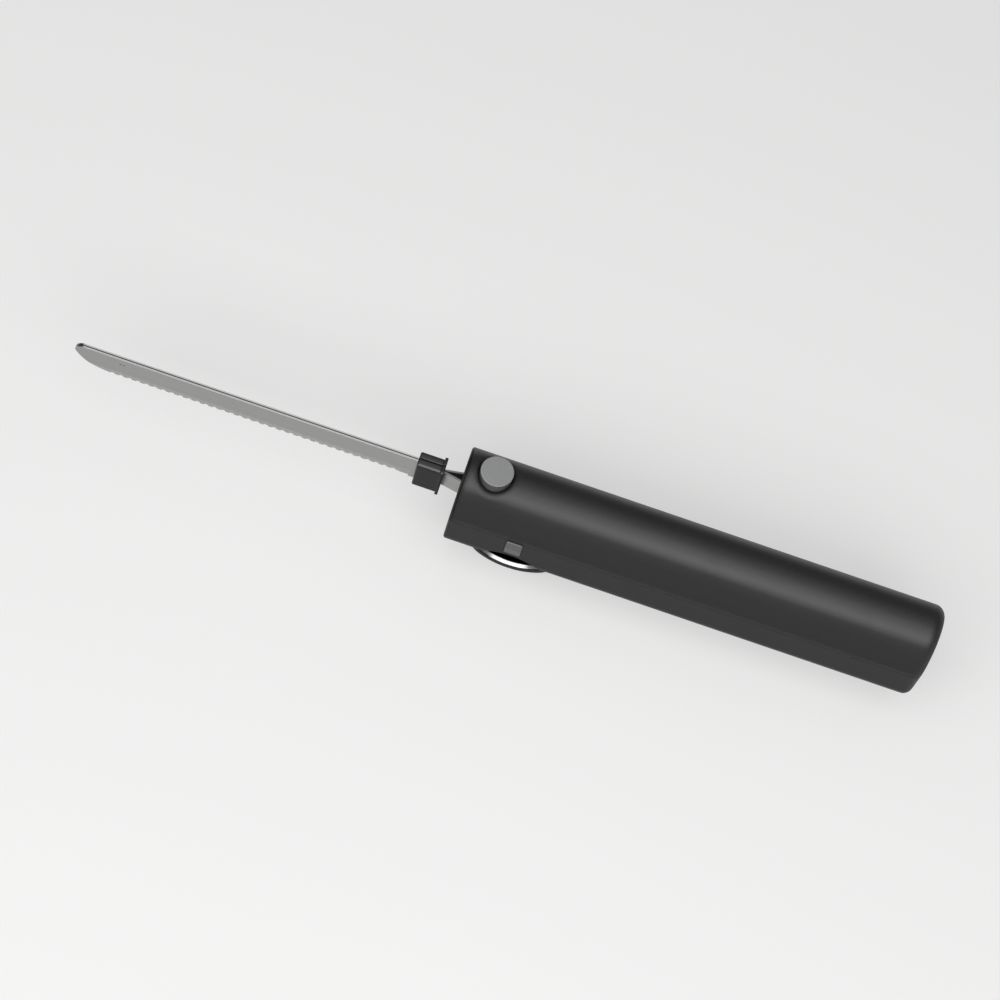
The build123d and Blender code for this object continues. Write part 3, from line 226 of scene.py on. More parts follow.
    def _band(self) -> bpy.types.NodeTree:
        """A mask that is 1 within a band along an axis, for a seam, a bevel, a spine or a lip."""
        group, source, sink = self._start(
            "band",
            [
                ("Axis", "NodeSocketVector", AXIS_Z),
                ("Middle", "NodeSocketFloat", 0.0),
                ("Half Width", "NodeSocketFloat", 0.0002),
                ("Softness", "NodeSocketFloat", 0.0001),
            ],
            [("Mask", "NodeSocketFloat")],
        )
        place = group.nodes.new("ShaderNodeTexCoord").outputs["Object"]
        along = group.nodes.new("ShaderNodeVectorMath")
        along.operation = "DOT_PRODUCT"
        group.links.new(place, along.inputs[0])
        group.links.new(source.outputs["Axis"], along.inputs[1])
        offset = self._math(group, "SUBTRACT", along.outputs["Value"], source.outputs["Middle"])
        away = self._math(group, "ABSOLUTE", offset, 0.0)
        past = self._math(group, "SUBTRACT", away, source.outputs["Half Width"])
        ratio = self._math(group, "DIVIDE", past, source.outputs["Softness"])
        flip = group.nodes.new("ShaderNodeMath")
        flip.operation = "SUBTRACT"
        flip.use_clamp = True
        flip.inputs[0].default_value = 1.0
        group.links.new(ratio, flip.inputs[1])
        group.links.new(flip.outputs[0], sink.inputs["Mask"])
        return group

    def _edge_wear(self) -> bpy.types.NodeTree:
        """Lightens the sharp edges of a piece where hands and cloths rub it."""
        group, source, sink = self._start(
            "edge_wear",
            [
                ("Color", "NodeSocketColor", (0.5, 0.5, 0.5, 1.0)),
                ("Worn", "NodeSocketColor", (0.8, 0.8, 0.8, 1.0)),
                ("Amount", "NodeSocketFloat", 0.3),
            ],
            [("Color", "NodeSocketColor")],
        )
        shape = group.nodes.new("ShaderNodeNewGeometry")
        place = group.nodes.new("ShaderNodeTexCoord").outputs["Object"]
        rise = self._math(group, "SUBTRACT", shape.outputs["Pointiness"], self.wear_from)
        sharp = self._math(group, "MULTIPLY", rise, self.wear_gain)
        patches = self._noise(group, place, self.wear_scale, self.wear_layers)
        patchy = self._math(group, "MULTIPLY", sharp, patches)
        clamp = group.nodes.new("ShaderNodeClamp")
        group.links.new(patchy, clamp.inputs["Value"])
        mask = self._math(group, "MULTIPLY", clamp.outputs[0], source.outputs["Amount"])
        mix = group.nodes.new("ShaderNodeMix")
        mix.data_type = "RGBA"
        group.links.new(mask, mix.inputs["Factor"])
        group.links.new(source.outputs["Color"], mix.inputs["A"])
        group.links.new(source.outputs["Worn"], mix.inputs["B"])
        group.links.new(mix.outputs["Result"], sink.inputs["Color"])
        return group


GROUPS = NodeGroups()


class Shader:
    """A material under construction, with short ways to place and join its nodes."""

    def __init__(self, name: str) -> None:
        """Starts a material that holds one Principled BSDF.

        Args:
            name: The material's name.
        """
        self.material = bpy.data.materials.new(name)
        self.material.use_nodes = True
        self.tree = self.material.node_tree
        self.surface = self.tree.nodes["Principled BSDF"]

    def set(self, **values: float) -> "Shader":
        """Sets plain values on the surface's sockets.

        Args:
            values: Socket names, with underscores for spaces, and their values.

        Returns:
            This shader.
        """
        for label, value in values.items():
            self.surface.inputs[label.replace("_", " ")].default_value = value
        return self

    def place(self, group: bpy.types.NodeTree, **values) -> bpy.types.Node:
        """Places a shared group.

        Args:
            group: The group.
            values: Input names, with underscores for spaces, and a value or a socket for each.

        Returns:
            The group's node.
        """
        node = self.tree.nodes.new("ShaderNodeGroup")
        node.node_tree = group
        for label, value in values.items():
            socket = node.inputs[label.replace("_", " ")]
            if isinstance(value, bpy.types.NodeSocket):
                self.tree.links.new(value, socket)
            else:
                socket.default_value = value
        return node

    def mix(self, factor, first, second) -> bpy.types.NodeSocket:
        """Blends two colours.

        Args:
            factor: A socket or a number.
            first: The colour, or its socket, at 0.
            second: The colour, or its socket, at 1.

        Returns:
            The blended colour's socket.
        """
        node = self.tree.nodes.new("ShaderNodeMix")
        node.data_type = "RGBA"
        for label, value in (("Factor", factor), ("A", first), ("B", second)):
            if isinstance(value, bpy.types.NodeSocket):
                self.tree.links.new(value, node.inputs[label])
            else:
                node.inputs[label].default_value = value
        return node.outputs["Result"]

    def steep(self, low: float = 0.45, high: float = 0.85) -> bpy.types.NodeSocket:
        """Marks the faces that stand steeply.

        Args:
            low: Upward share of the normal at and below which a face is steep.
            high: Upward share from which it isn't.

        Returns:
            The mask's socket, 1 where a face is steep.
        """
        facing = self.tree.nodes.new("ShaderNodeNewGeometry")
        parts = self.tree.nodes.new("ShaderNodeSeparateXYZ")
        self.tree.links.new(facing.outputs["Normal"], parts.inputs[0])
        span = self.tree.nodes.new("ShaderNodeMapRange")
        self.tree.links.new(parts.outputs["Z"], span.inputs["Value"])
        span.inputs["From Min"].default_value = low
        span.inputs["From Max"].default_value = high
        span.inputs["To Min"].default_value = 1.0
        span.inputs["To Max"].default_value = 0.0
        return span.outputs["Result"]

    def most(self, masks: list) -> bpy.types.NodeSocket:
        """Joins masks.

        Args:
            masks: The masks' sockets.

        Returns:
            The socket of the greatest of them.
        """
        result = masks[0]
        for mask in masks[1:]:
            node = self.tree.nodes.new("ShaderNodeMath")
            node.operation = "MAXIMUM"
            self.tree.links.new(result, node.inputs[0])
            self.tree.links.new(mask, node.inputs[1])
            result = node.outputs[0]
        return result

    def join(self, socket: bpy.types.NodeSocket, label: str) -> None:
        """Feeds a socket to the surface."""
        self.tree.links.new(socket, self.surface.inputs[label])

    def bump(
        self, height: bpy.types.NodeSocket, distance: float, strength: float = 1.0,
        soften: float = 0.0,
    ) -> None:
        """Raises the surface by a height.

        Args:
            height: The height's socket.
            distance: How far 1 stands proud, in metres.
            strength: How strongly it shows.
            soften: How far shallow creases are rounded in the shading, in metres.
        """
        node = self.tree.nodes.new("ShaderNodeBump")
        if soften:
            bevel = self.tree.nodes.new("ShaderNodeBevel")
            bevel.samples = BEVEL_SAMPLES
            bevel.inputs["Radius"].default_value = soften
            self.tree.links.new(bevel.outputs[0], node.inputs["Normal"])
        node.inputs["Distance"].default_value = distance
        node.inputs["Strength"].default_value = strength
        self.tree.links.new(height, node.inputs["Height"])
        self.tree.links.new(node.outputs[0], self.surface.inputs["Normal"])


def rgba(colour: Colour) -> tuple:
    """The colour with full alpha."""
    return (*colour, 1.0)


@dataclass(frozen=True)
class Lacquer:
    """Satin lacquer with fine metal flake over a moulding. Lengths are in metres.

    A wall colour takes the steep faces as painted shade. A rim is a dark band round one place on
    X, and a seam, painted shade of a joint's gap, one round a place on its axis.
    """

    name: str
    colour: Colour
    flake: Colour
    roughness: float = 0.46
    specular: float = 0.6
    steep_specular: float = 0.15
    soften: float = 0.0
    wall_shade: Optional[Colour] = None
    rim_place: Optional[float] = None
    rim_half: float = 0.0012
    seam_place: Optional[float] = None
    rim_softness: float = 0.0003
    seam_axis: tuple = AXIS_Z
    seam_half: float = 0.00006
    seam_softness: float = 0.00012
    # Black of the rim's lip, and painted shade where a seam marks a gap.
    rim_black_and_seam_shade: Colour = (0.004, 0.004, 0.004)
    dull_below: float = 0.1
    bright_above: float = 0.8
    grain_scale: float = 3200.0
    grain_depth: float = 0.3
    grain_height: float = 0.00001
    grain_strength: float = 0.35
    drift: float = 0.06
    drift_scale: float = 22.0
    wear: float = 0.25

    def build(self) -> bpy.types.Material:
        """Makes the material."""
        shader = Shader(self.name)
        grain = shader.place(GROUPS.grain, Scale=self.grain_scale, Depth=self.grain_depth)
        flecked = shader.mix(grain.outputs["Flake"], rgba(self.colour), rgba(self.flake))
        drift = shader.place(
            GROUPS.drift, Color=flecked, Roughness=self.roughness,
            Amount=self.drift, Scale=self.drift_scale,
        )
        worn = shader.place(
            GROUPS.wear, Color=drift.outputs["Color"], Worn=rgba(self.flake), Amount=self.wear
        )
        colour = worn.outputs["Color"]
        # Painted shade: steep faces take the darker wall colour.
        if self.wall_shade is not None:
            colour = shader.mix(shader.steep(), colour, rgba(self.wall_shade))
        dull = shader.steep(self.dull_below, self.bright_above)
        level = shader.mix(dull, [self.specular] * 4, [self.steep_specular] * 4)
        dark = []
        if self.rim_place is not None:
            rim = shader.place(
                GROUPS.band, Axis=AXIS_X, Middle=self.rim_place, Half_Width=self.rim_half,
                Softness=self.rim_softness,
            )
            dark.append(rim.outputs["Mask"])
        # Painted shade: the seam band darkens the gap at a joint, black and without reflection.
        if self.seam_place is not None:
            seam = shader.place(
                GROUPS.band, Axis=self.seam_axis, Middle=self.seam_place,
                Half_Width=self.seam_half, Softness=self.seam_softness,
            )
            dark.append(seam.outputs["Mask"])
        if dark:
            mask = shader.most(dark)
            colour = shader.mix(mask, colour, rgba(self.rim_black_and_seam_shade))
            shader.join(mask, "Metallic")
        shader.join(colour, "Base Color")
        shader.join(level, "Specular IOR Level")
        shader.join(drift.outputs["Roughness"], "Roughness")
        shader.bump(
            grain.outputs["Height"], self.grain_height, self.grain_strength, self.soften
        )
        return shader.material


@dataclass(frozen=True)
class Moulded:
    """Moulded plastic with a fine spark grain."""

    name: str
    colour: Colour
    roughness: float = 0.45
    grain: float = 1800.0
    depth: float = 0.5
    drift: float = 0.08
    drift_scale: float = 40.0
    specular: float = 0.5
    wear: float = 0.35
    pale_gain: float = 1.6
    pale_lift: float = 0.02
    grain_height: float = 0.00002
    grain_strength: float = 0.4

    def build(self) -> bpy.types.Material:
        """Makes the material."""
        shader = Shader(self.name).set(Specular_IOR_Level=self.specular)
        drift = shader.place(
            GROUPS.drift, Color=rgba(self.colour), Roughness=self.roughness,
            Amount=self.drift, Scale=self.drift_scale,
        )
        pale = tuple(
            min(1.0, channel * self.pale_gain + self.pale_lift) for channel in self.colour
        )
        worn = shader.place(
            GROUPS.wear, Color=drift.outputs["Color"], Worn=rgba(pale), Amount=self.wear
        )
        shader.join(worn.outputs["Color"], "Base Color")
        shader.join(drift.outputs["Roughness"], "Roughness")
        grain = shader.place(GROUPS.grain, Scale=self.grain, Depth=self.depth)
        shader.bump(grain.outputs["Height"], self.grain_height, self.grain_strength)
        return shader.material


@dataclass(frozen=True)
class Steel:
    """Ground, drawn or turned metal."""

    name: str
    colour: Colour
    roughness: float = 0.28
    lines: Grain = Grain.ALONG
    depth: float = 0.3
    drift: float = 0.1
    drift_scale: float = 35.0
    dim_share: float = 0.82
    line_height: float = 0.000012
    line_strength: float = 0.6

    def build(self) -> bpy.types.Material:
        """Makes the material."""
        shader = Shader(self.name).set(Metallic=1.0)
        streaks = shader.place(GROUPS.lines, Stretch=self.lines.value, Depth=self.depth)
        drift = shader.place(
            GROUPS.drift, Color=rgba(self.colour), Roughness=self.roughness,
            Amount=self.drift, Scale=self.drift_scale,
        )
        dim = tuple(channel * self.dim_share for channel in self.colour)
        colour = shader.mix(streaks.outputs["Streak"], drift.outputs["Color"], rgba(dim))
        shader.join(colour, "Base Color")
        shader.join(drift.outputs["Roughness"], "Roughness")
        shader.bump(streaks.outputs["Height"], self.line_height, self.line_strength)
        return shader.material


@dataclass(frozen=True)
class BladeSteel:
    """Stainless blade: ground along its length, with a bevel ground across.

    Heights are places on Z but for bevel_height, how far up from the edge the bevel reaches.
    The gap is painted shade: the dark line between the two blades, at the middle of Y.
    """

    name: str
    colour: Colour
    bevel_colour: Colour
    edge_height: float
    bevel_height: float
    spine_height: float
    spine_colour: Colour = (0.8, 0.8, 0.79)
    spine_half: float = 0.00012
    band_softness: float = 0.0001
    gap_half: float = 0.0002
    gap_softness: float = 0.00012
    gap_shade: Colour = (0.03, 0.03, 0.03)
    roughness: float = 0.3
    depth: float = 0.5
    drift: float = 0.08
    drift_scale: float = 30.0
    dim_share: float = 0.8
    bevel_dim_share: float = 0.72
    line_height: float = 0.000014
    line_strength: float = 0.6

    def build(self) -> bpy.types.Material:
        """Makes the material."""
        shader = Shader(self.name).set(Metallic=1.0)
        along = shader.place(GROUPS.lines, Stretch=Grain.ALONG.value, Depth=self.depth)
        across = shader.place(GROUPS.lines, Stretch=Grain.ACROSS.value, Depth=self.depth)
        bevel = shader.place(
            GROUPS.band,
            Middle=self.edge_height,
            Half_Width=self.bevel_height,
            Softness=self.band_softness,
        )
        drift = shader.place(
            GROUPS.drift, Color=rgba(self.colour), Roughness=self.roughness,
            Amount=self.drift, Scale=self.drift_scale,
        )
        dim = tuple(channel * self.dim_share for channel in self.colour)
        body = shader.mix(along.outputs["Streak"], drift.outputs["Color"], rgba(dim))
        dim_bevel = tuple(channel * self.bevel_dim_share for channel in self.bevel_colour)
        ground = shader.mix(across.outputs["Streak"], rgba(self.bevel_colour), rgba(dim_bevel))
        spine = shader.place(
            GROUPS.band, Middle=self.spine_height, Half_Width=self.spine_half,
            Softness=self.band_softness,
        )
        sides = shader.mix(bevel.outputs["Mask"], body, ground)
        whole = shader.mix(spine.outputs["Mask"], sides, rgba(self.spine_colour))
        # Painted shade: the gap between the two blades, which also darkens their inner faces.
        gap = shader.place(
            GROUPS.band, Axis=AXIS_Y, Half_Width=self.gap_half, Softness=self.gap_softness
        )
        colour = shader.mix(gap.outputs["Mask"], whole, rgba(self.gap_shade))
        shader.join(colour, "Base Color")
        shader.join(drift.outputs["Roughness"], "Roughness")
        height = shader.tree.nodes.new("ShaderNodeMix")
        shader.tree.links.new(bevel.outputs["Mask"], height.inputs["Factor"])
        shader.tree.links.new(along.outputs["Height"], height.inputs["A"])
        shader.tree.links.new(across.outputs["Height"], height.inputs["B"])
        shader.bump(height.outputs["Result"], self.line_height, self.line_strength)
        return shader.material


@dataclass(frozen=True)
class Plated:
    """Bright plating over a smooth moulding; painted streaks of reflection at its lips, painted
    shade away from them.
    """

    name: str
    colour: Colour
    core_shade: Colour
    core_half: float
    lip_half: float
    lip_softness: float = 0.0002
    core_softness: float = 0.0003
    roughness: float = 0.24
    reflection_streak_amount: float = 0.45
    reflection_streak_scale: float = 260.0
    grain_scale: float = 500.0
    grain_depth: float = 0.2
    grain_height: float = 0.00001
    grain_strength: float = 0.1

    def build(self) -> bpy.types.Material:
        """Makes the material: a bright band near each lip with painted reflection streaks, and
        painted shade between and outside them.
        """
        shader = Shader(self.name).set(Metallic=1.0)
        # Painted reflection: the plating's colour swings in streaks along the lips.
        drift = shader.place(
            GROUPS.drift, Color=rgba(self.colour), Roughness=self.roughness,
            Amount=self.reflection_streak_amount, Scale=self.reflection_streak_scale,
        )
        lip = shader.place(
            GROUPS.band, Axis=AXIS_Y, Half_Width=self.lip_half, Softness=self.lip_softness
        )
        # Painted shade: the plating is painted near black outside the lips and between them.
        bright = shader.mix(lip.outputs["Mask"], rgba(self.core_shade), drift.outputs["Color"])
        inside = shader.place(
            GROUPS.band, Axis=AXIS_Y, Half_Width=self.core_half, Softness=self.core_softness
        )
        colour = shader.mix(inside.outputs["Mask"], bright, rgba(self.core_shade))
        shader.join(colour, "Base Color")
        shader.set(Roughness=self.roughness)
        grain = shader.place(GROUPS.grain, Scale=self.grain_scale, Depth=self.grain_depth)
        shader.bump(grain.outputs["Height"], self.grain_height, self.grain_strength)
        return shader.material


@dataclass(frozen=True)
class Lens:
    """Tinted see-through plastic of a lamp."""

    name: str
    colour: Colour
    roughness: float = 0.12
    clearness: float = 0.6
    bending: float = 1.49
    grain_scale: float = 900.0
    grain_depth: float = 0.3
    grain_height: float = 0.00001
    grain_strength: float = 0.3

    def build(self) -> bpy.types.Material:
        """Makes the material."""
        shader = Shader(self.name).set(
            Base_Color=rgba(self.colour), Roughness=self.roughness,
            Transmission_Weight=self.clearness, IOR=self.bending,
        )
        grain = shader.place(GROUPS.grain, Scale=self.grain_scale, Depth=self.grain_depth)
        shader.bump(grain.outputs["Height"], self.grain_height, self.grain_strength)
        return shader.material


def paint(material: bpy.types.Material, *names: str) -> None:
    """Puts a finish on nodes of the frame.

    Args:
        material: The finish.
        names: The nodes that take it.
    """
    for name in names:
        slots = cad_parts[name].data.materials
        if not len(slots):
            slots.append(material)
        for index in range(len(slots)):
            slots[index] = material
        log.info("finish %s on %s", material.name, name)


@dataclass
class CaseScrews:
    """Self-tapping screws below the handle, each with a domed head and a cross recess.

    Lengths are in millimetres. The thread's shares are pairs: a place in the pitch, and the
    radius there as a share of the shank's.
    """

    front_place: float = 107.65
    rear_place: float = 186.75
    half_spread: float = 9.0
    head_face: float = 32.0
    head_radius: float = 2.6
    head_height: float = 2.0
    shank_radius: float = 1.45
    shank_length: float = 20.0
    pitch: float = 1.1
    thread_shares: tuple = ((0.0, 0.78), (0.35, 0.78), (0.5, 1.0), (0.65, 0.78))
    tip_radius: float = 0.1
    dome_drop: float = 0.55
    recess_depth: float = 1.0
    recess_reach: float = 1.55
    arm_half: float = 0.32
    arm_blend: float = 0.12
    reach_blend: float = 0.35
    turn_step: float = 0.7
    segments: int = 64
    rings: int = 26

    def _places(self) -> list:
        """The screws' places on X and Y, the front pair first."""
        sides = (-self.half_spread, self.half_spread)
        return [(x, y) for x in (self.front_place, self.rear_place) for y in sides]

    def _face_rise(self, x: float, y: float) -> float:
        """How far the head's face lies inwards of its lowest point, dome and recess together.

        Args:
            x: Place across the head, in millimetres from its middle.
            y: The other place across the head.

        Returns:
            Millimetres from the top of the dome.
        """
        radius = math.hypot(x, y)
        dome = self.dome_drop * (radius / self.head_radius) ** 3
        arm = min(abs(x), abs(y))
        inside = max(0.0, min(1.0, (self.arm_half - arm) / self.arm_blend + 0.5))
        reach = max(0.0, min(1.0, (self.recess_reach - radius) / self.reach_blend))
        return dome + self.recess_depth * inside * reach

    def _mesh(self) -> bpy.types.Mesh:
        """One screw, its face down at the origin and its shank upwards."""
        bm = bmesh.new()
        centre = bm.verts.new((0.0, 0.0, self._face_rise(0.0, 0.0) * MM))
        loops = []
        for ring in range(1, self.rings + 1):
            radius = self.head_radius * ring / self.rings
            loops.append(self._loop(bm, radius, None))
        loops.append(self._loop(bm, self.head_radius, self.head_height))
        low = self.head_height
        while low < self.head_height + self.shank_length - self.pitch:
            for pitch_share, radius_share in self.thread_shares:
                height = low + pitch_share * self.pitch
                loops.append(self._loop(bm, self.shank_radius * radius_share, height))
            low += self.pitch
        loops.append(self._loop(bm, self.tip_radius, self.head_height + self.shank_length))
        for index in range(self.segments):
            after = (index + 1) % self.segments
            bm.faces.new((centre, loops[0][after], loops[0][index]))
            for inner, outer in zip(loops, loops[1:]):
                bm.faces.new((inner[index], inner[after], outer[after], outer[index]))
        bm.faces.new(loops[-1])
        bmesh.ops.recalc_face_normals(bm, faces=bm.faces)
        mesh = bpy.data.meshes.new("case_screw")
        bm.to_mesh(mesh)
        bm.free()
        mesh.shade_smooth()
        return mesh

    def _loop(self, bm: bmesh.types.BMesh, radius: float, height: Optional[float]) -> list:
        """A ring of vertices.

        Args:
            bm: The mesh under construction.
            radius: The ring's radius, in millimetres.
            height: Its height, or None for the head's own face.

        Returns:
            The ring's vertices.
        """
        loop = []
        for index in range(self.segments):
            angle = 2 * math.pi * index / self.segments
            x, y = radius * math.cos(angle), radius * math.sin(angle)
            rise = self._face_rise(x, y) if height is None else height
            loop.append(bm.verts.new((x * MM, y * MM, rise * MM)))
        return loop

    def build(self, finish: bpy.types.Material) -> None:
        """Sets a screw in each place, in the stead of the plain ones.

        Args:
            finish: The screws' finish.
        """
        mesh = self._mesh()
        mesh.materials.append(finish)
        screws = []
        for number, (x, y) in enumerate(self._places(), 1):
            screw = bpy.data.objects.new(f"case_screw_{number}", mesh)
            screw.location = (x * MM, y * MM, self.head_face * MM)
            screw.rotation_euler = (0.0, 0.0, self.turn_step * number)
            bpy.context.scene.collection.objects.link(screw)
            screws.append(screw)
        for screw in screws:
            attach(screw, "handle")
            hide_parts("housing_screws")
            log.info("built %s", screw.name)


@dataclass
class HandleCase:
    """The two shells, the nose bezel and the case screws."""

    seam: float = 46.0 * MM
    front: float = -23.25 * MM
    crown_soften: float = 5.0 * MM

    def dress(self) -> None:
        """Finishes the case."""
        # The seam at the shells' parting line is painted shade of the gap between them.
        crown = Lacquer(
            "crown_lacquer", CASE_BLACK, CASE_FLAKE, seam_place=self.seam,
            rim_place=self.front, soften=self.crown_soften,
        )
        paint(crown.build(), "upper_housing")
        belly = Lacquer(
            "belly_lacquer", (0.008, 0.008, 0.0082), (0.013, 0.013, 0.0133), specular=0.3,
            seam_place=self.seam, rim_place=self.front,
        )
        paint(belly.build(), "lower_housing")
        bezel = Moulded(
            "bezel_black", (0.008, 0.008, 0.009), roughness=0.5, grain=900.0, depth=0.4,
            specular=0.2,
        )
        paint(bezel.build(), "nose_bezel")
        finish = Steel("zinc_screw", (0.5, 0.5, 0.49), 0.35, Grain.ROUND).build()
        paint(finish, "housing_screws", "guard_screws", "motor_screws")
        CaseScrews().build(finish)


@dataclass
class FingerRing:
    """The ring below the handle and its liner, bright at its two lips, with painted shade between
    and outside them.
    """

    lip_inside: float = 10.2 * MM
    lip_outside: float = 11.8 * MM

    def dress(self) -> None:
        """Finishes the ring."""
        ring = Lacquer("ring_lacquer", CASE_BLACK, CASE_FLAKE, roughness=0.34, specular=0.4)
        paint(ring.build(), "finger_guard")
        liner = Plated(
            "liner_plating", (0.5, 0.51, 0.52), (0.02, 0.02, 0.021),
            core_half=self.lip_inside, lip_half=self.lip_outside,
        )
        paint(liner.build(), "guard_liner")


@dataclass
class Controls:
    """Release button, lock button, trigger and their switches."""

    def dress(self) -> None:
        """Finishes the controls."""
        # The darker wall colours of the button and the lock are painted shade on their steep sides.
        button = Lacquer(
            "button_lacquer", (0.2, 0.2, 0.202), (0.24, 0.24, 0.242), roughness=0.42,
            wall_shade=(0.07, 0.07, 0.071),
        )
        paint(button.build(), "release_button")
        lock = Lacquer(
            "lock_lacquer", (0.2, 0.2, 0.201), (0.24, 0.24, 0.242), roughness=0.38,
            wall_shade=(0.09, 0.09, 0.091),
        )
        paint(lock.build(), "lock_button")
        paint(Moulded("trigger_black", (0.014, 0.014, 0.015), 0.5).build(), "trigger")
        paint(Moulded("switch_case", (0.04, 0.04, 0.04)).build(), "trigger_switch", "lock_switch")
        paint(
            Moulded("plunger_red", (0.45, 0.04, 0.03)).build(), "trigger_plunger", "lock_plunger"
        )
        paint(Moulded("plunger_grey", (0.08, 0.08, 0.08)).build(), "release_plunger")
        wire = Steel("spring_wire", (0.6, 0.6, 0.6), 0.25, Grain.ROUND)
        paint(wire.build(), "release_spring", "lock_spring", "trigger_spring")


@dataclass
class TwinBlades:
    """The two scalloped blades, their rivet and the collar halves."""

    edge: float = 39.825 * MM
    bevel: float = 5.4 * MM
    spine: float = 58.575 * MM
    collar_soften: float = 1.6 * MM
    collar_joint_half: float = 0.25 * MM

    def dress(self) -> None:
        """Finishes the blades."""
        blade = BladeSteel(
            "blade_steel", (0.34, 0.34, 0.336), (0.37, 0.37, 0.36),
            edge_height=self.edge, bevel_height=self.bevel, spine_height=self.spine,
        )
        paint(blade.build(), "blade_left", "blade_right")
        paint(Steel("rivet_steel", (0.08, 0.08, 0.08), 0.5, Grain.ROUND).build(), "blade_rivet")
        # The dark joint line between the collar halves is painted shade of their gap.
        collar = Lacquer(
            "collar_grey", (0.005, 0.0054, 0.005), (0.009, 0.0094, 0.009), roughness=0.3,
            specular=0.9, steep_specular=0.1, soften=self.collar_soften, seam_place=0.0,
            seam_axis=AXIS_Y, seam_half=self.collar_joint_half,
        )
        paint(collar.build(), "collar_left", "collar_right")


@dataclass
class Drive:
    """Carriages, latches, gears and motor."""

    def dress(self) -> None:
        """Finishes the drive."""
        acetal = Moulded("natural_acetal", (0.8, 0.79, 0.74), 0.35)
        paint(acetal.build(), "carriage_left", "carriage_right", "drive_wheel")
        leaf = Steel("leaf_steel", (0.62, 0.62, 0.6), 0.25)
        paint(leaf.build(), "latch_leaf_left", "latch_leaf_right")
        pin = Steel("ground_pin", (0.58, 0.58, 0.58), 0.2)
        paint(
            pin.build(), "latch_rivet_left", "latch_rivet_right", "motor_shaft", "wheel_axle",
            "trigger_pin",
        )
        brass = Steel("turned_brass", (0.74, 0.56, 0.25), 0.28, Grain.ROUND)
        paint(brass.build(), "worm", "worm_bush", "switch_terminals", "motor_terminals")
        paint(Moulded("filled_black", (0.05, 0.05, 0.05), 0.55).build(), "gear_frame", "frame_cover")
        paint(Steel("zinc_can", (0.52, 0.52, 0.53), 0.38, Grain.ROUND).build(), "motor_can")
        paint(Moulded("ferrite", (0.05, 0.05, 0.055), 0.6).build(), "motor_magnets")
        paint(Steel("enamelled_copper", (0.65, 0.3, 0.14), 0.35).build(), "motor_rotor")
        paint(Moulded("cap_red", (0.4, 0.08, 0.05), 0.4).build(), "motor_end_cap")


@dataclass
class PowerPack:
    """Cells, tray, strips, charging board, inlet and lamp."""

    def dress(self) -> None:
        """Finishes the power pack."""
        sleeve = Moulded("cell_sleeve", (0.06, 0.16, 0.4), 0.22, 600.0, 0.1)
        paint(sleeve.build(), "battery_cell_lower", "battery_cell_upper")
        paint(Moulded("tray_grey", (0.1, 0.1, 0.1), 0.5).build(), "battery_tray")
        paint(Steel("nickel_strip", (0.66, 0.64, 0.58), 0.3).build(), "contact_strips")
        paint(Moulded("board_green", (0.02, 0.14, 0.05), 0.3).build(), "circuit_board")
        paint(Moulded("chip_black", (0.03, 0.03, 0.03), 0.4).build(), "board_components")
        paint(Moulded("inlet_black", (0.02, 0.02, 0.02), 0.35).build(), "charging_inlet")
        paint(Lens("lamp_lens", (0.45, 0.85, 0.4)).build(), "charge_lamp")


@dataclass(frozen=True)
class Lamp:
    """A soft rectangular lamp that faces the knife.

    Its height is in degrees above the floor, its turn in degrees about the vertical from +X,
    its distance and its size (width and height) in metres, and its power in watts.
    """

    name: str
    height: float
    turn: float
    away: float
    size: tuple
    power: float


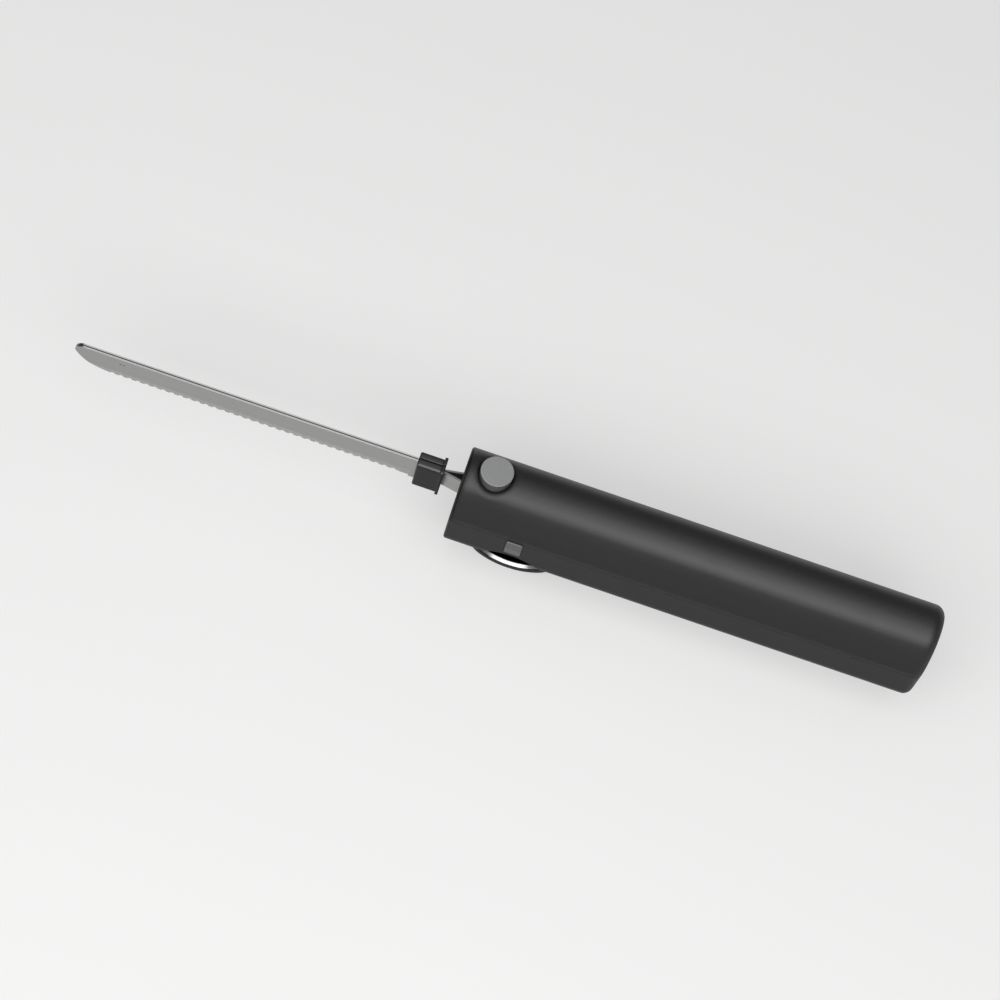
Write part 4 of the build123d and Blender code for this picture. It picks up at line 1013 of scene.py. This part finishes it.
@dataclass
class Studio:
    """Floor, lamps, surroundings and camera. Angles are in degrees, lengths in metres."""

    elevation: float = 63.0
    roll: float = 18.8
    distance: float = 2.4
    target: tuple = (-0.002, 0.0, 0.045)
    width: float = 0.5
    sensor: float = 36.0
    floor_colour: Colour = (0.83, 0.83, 0.82)
    floor_half: float = 6.0
    floor_roughness: float = 0.7
    floor_drift: float = 0.01
    floor_drift_scale: float = 4.0
    paper: Colour = (0.8, 0.8, 0.795)
    evenness: float = 0.55
    surround: Colour = (0.9, 0.92, 0.95)
    surround_strength: float = 0.2
    lamps: tuple = (
        Lamp("near_window", height=42.0, turn=-90.0, away=1.2, size=(2.2, 0.6), power=14.0),
        Lamp("over_panel", height=74.0, turn=-90.0, away=1.4, size=(2.2, 1.0), power=12.0),
        Lamp("back_soft", height=68.0, turn=90.0, away=1.6, size=(1.8, 0.8), power=2.0),
    )

    def build(self) -> None:
        """Makes everything round the knife."""
        self._floor()
        self._world()
        self._camera()
        for lamp in self.lamps:
            self._hang(lamp)

    def _floor(self) -> None:
        """A wide pale floor."""
        mesh = bpy.data.meshes.new("floor")
        bm = bmesh.new()
        bmesh.ops.create_grid(bm, x_segments=1, y_segments=1, size=self.floor_half)
        bm.to_mesh(mesh)
        bm.free()
        floor = bpy.data.objects.new("floor", mesh)
        bpy.context.scene.collection.objects.link(floor)
        shader = Shader("floor_paper").set(Roughness=self.floor_roughness)
        drift = shader.place(
            GROUPS.drift, Color=rgba(self.floor_colour), Roughness=self.floor_roughness,
            Amount=self.floor_drift, Scale=self.floor_drift_scale,
        )
        shader.join(drift.outputs["Color"], "Base Color")
        self._even(shader)
        mesh.materials.append(shader.material)

    def _even(self, shader: Shader) -> None:
        """Evens out what the camera sees of the floor, so that shadows stay faint.

        Args:
            shader: The floor's shader.
        """
        nodes, links = shader.tree.nodes, shader.tree.links
        paper = nodes.new("ShaderNodeEmission")
        paper.inputs["Color"].default_value = rgba(self.paper)
        path = nodes.new("ShaderNodeLightPath")
        share = nodes.new("ShaderNodeMath")
        share.operation = "MULTIPLY"
        share.inputs[1].default_value = self.evenness
        blend = nodes.new("ShaderNodeMixShader")
        end = next(node for node in nodes if node.type == "OUTPUT_MATERIAL")
        links.new(path.outputs["Is Camera Ray"], share.inputs[0])
        links.new(share.outputs[0], blend.inputs[0])
        links.new(shader.surface.outputs[0], blend.inputs[1])
        links.new(paper.outputs[0], blend.inputs[2])
        links.new(blend.outputs[0], end.inputs["Surface"])

    def _world(self) -> None:
        """An even pale surround."""
        world = bpy.data.worlds.new("surround")
        world.use_nodes = True
        back = world.node_tree.nodes["Background"]
        back.inputs["Color"].default_value = rgba(self.surround)
        back.inputs["Strength"].default_value = self.surround_strength
        bpy.context.scene.world = world

    def _hang(self, lamp: Lamp) -> None:
        """Hangs a lamp and turns it to the knife.

        Args:
            lamp: The lamp's place, size and power.
        """
        light = bpy.data.lights.new(lamp.name, "AREA")
        light.shape = "RECTANGLE"
        light.size, light.size_y = lamp.size
        light.energy = lamp.power
        holder = bpy.data.objects.new(lamp.name, light)
        level = math.cos(math.radians(lamp.height))
        direction = Vector((
            level * math.cos(math.radians(lamp.turn)),
            level * math.sin(math.radians(lamp.turn)),
            math.sin(math.radians(lamp.height)),
        ))
        holder.location = Vector(self.target) + direction * lamp.away
        holder.rotation_euler = direction.to_track_quat("Z", "Y").to_euler()
        bpy.context.scene.collection.objects.link(holder)

    def _camera(self) -> None:
        """The photograph's viewing angle: high over the near side, rolled to slope the handle."""
        rise = math.radians(self.elevation)
        roll = math.radians(self.roll)
        back = Vector((0.0, -math.cos(rise), math.sin(rise)))
        level_up = Vector((0.0, math.sin(rise), math.cos(rise)))
        side = Vector((1.0, 0.0, 0.0))
        right = side * math.cos(roll) + level_up * math.sin(roll)
        up = level_up * math.cos(roll) - side * math.sin(roll)
        data = bpy.data.cameras.new("camera")
        camera = bpy.data.objects.new("camera", data)
        turn = Matrix((right, up, back)).transposed().to_4x4()
        place = Vector(self.target) + back * self.distance
        camera.matrix_world = Matrix.Translation(place) @ turn
        data.sensor_fit = "HORIZONTAL"
        data.sensor_width = self.sensor
        data.lens = self.sensor * self.distance / self.width
        bpy.context.scene.collection.objects.link(camera)
        bpy.context.scene.camera = camera


def main() -> None:
    """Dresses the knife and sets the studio."""
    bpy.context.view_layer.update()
    for piece in (HandleCase(), FingerRing(), Controls(), TwinBlades(), Drive(), PowerPack()):
        piece.dress()
        log.info("dressed %s", type(piece).__name__)
    Studio().build()
    bpy.context.scene.view_settings.view_transform = "Standard"


if __name__ == "__main__":
    main()
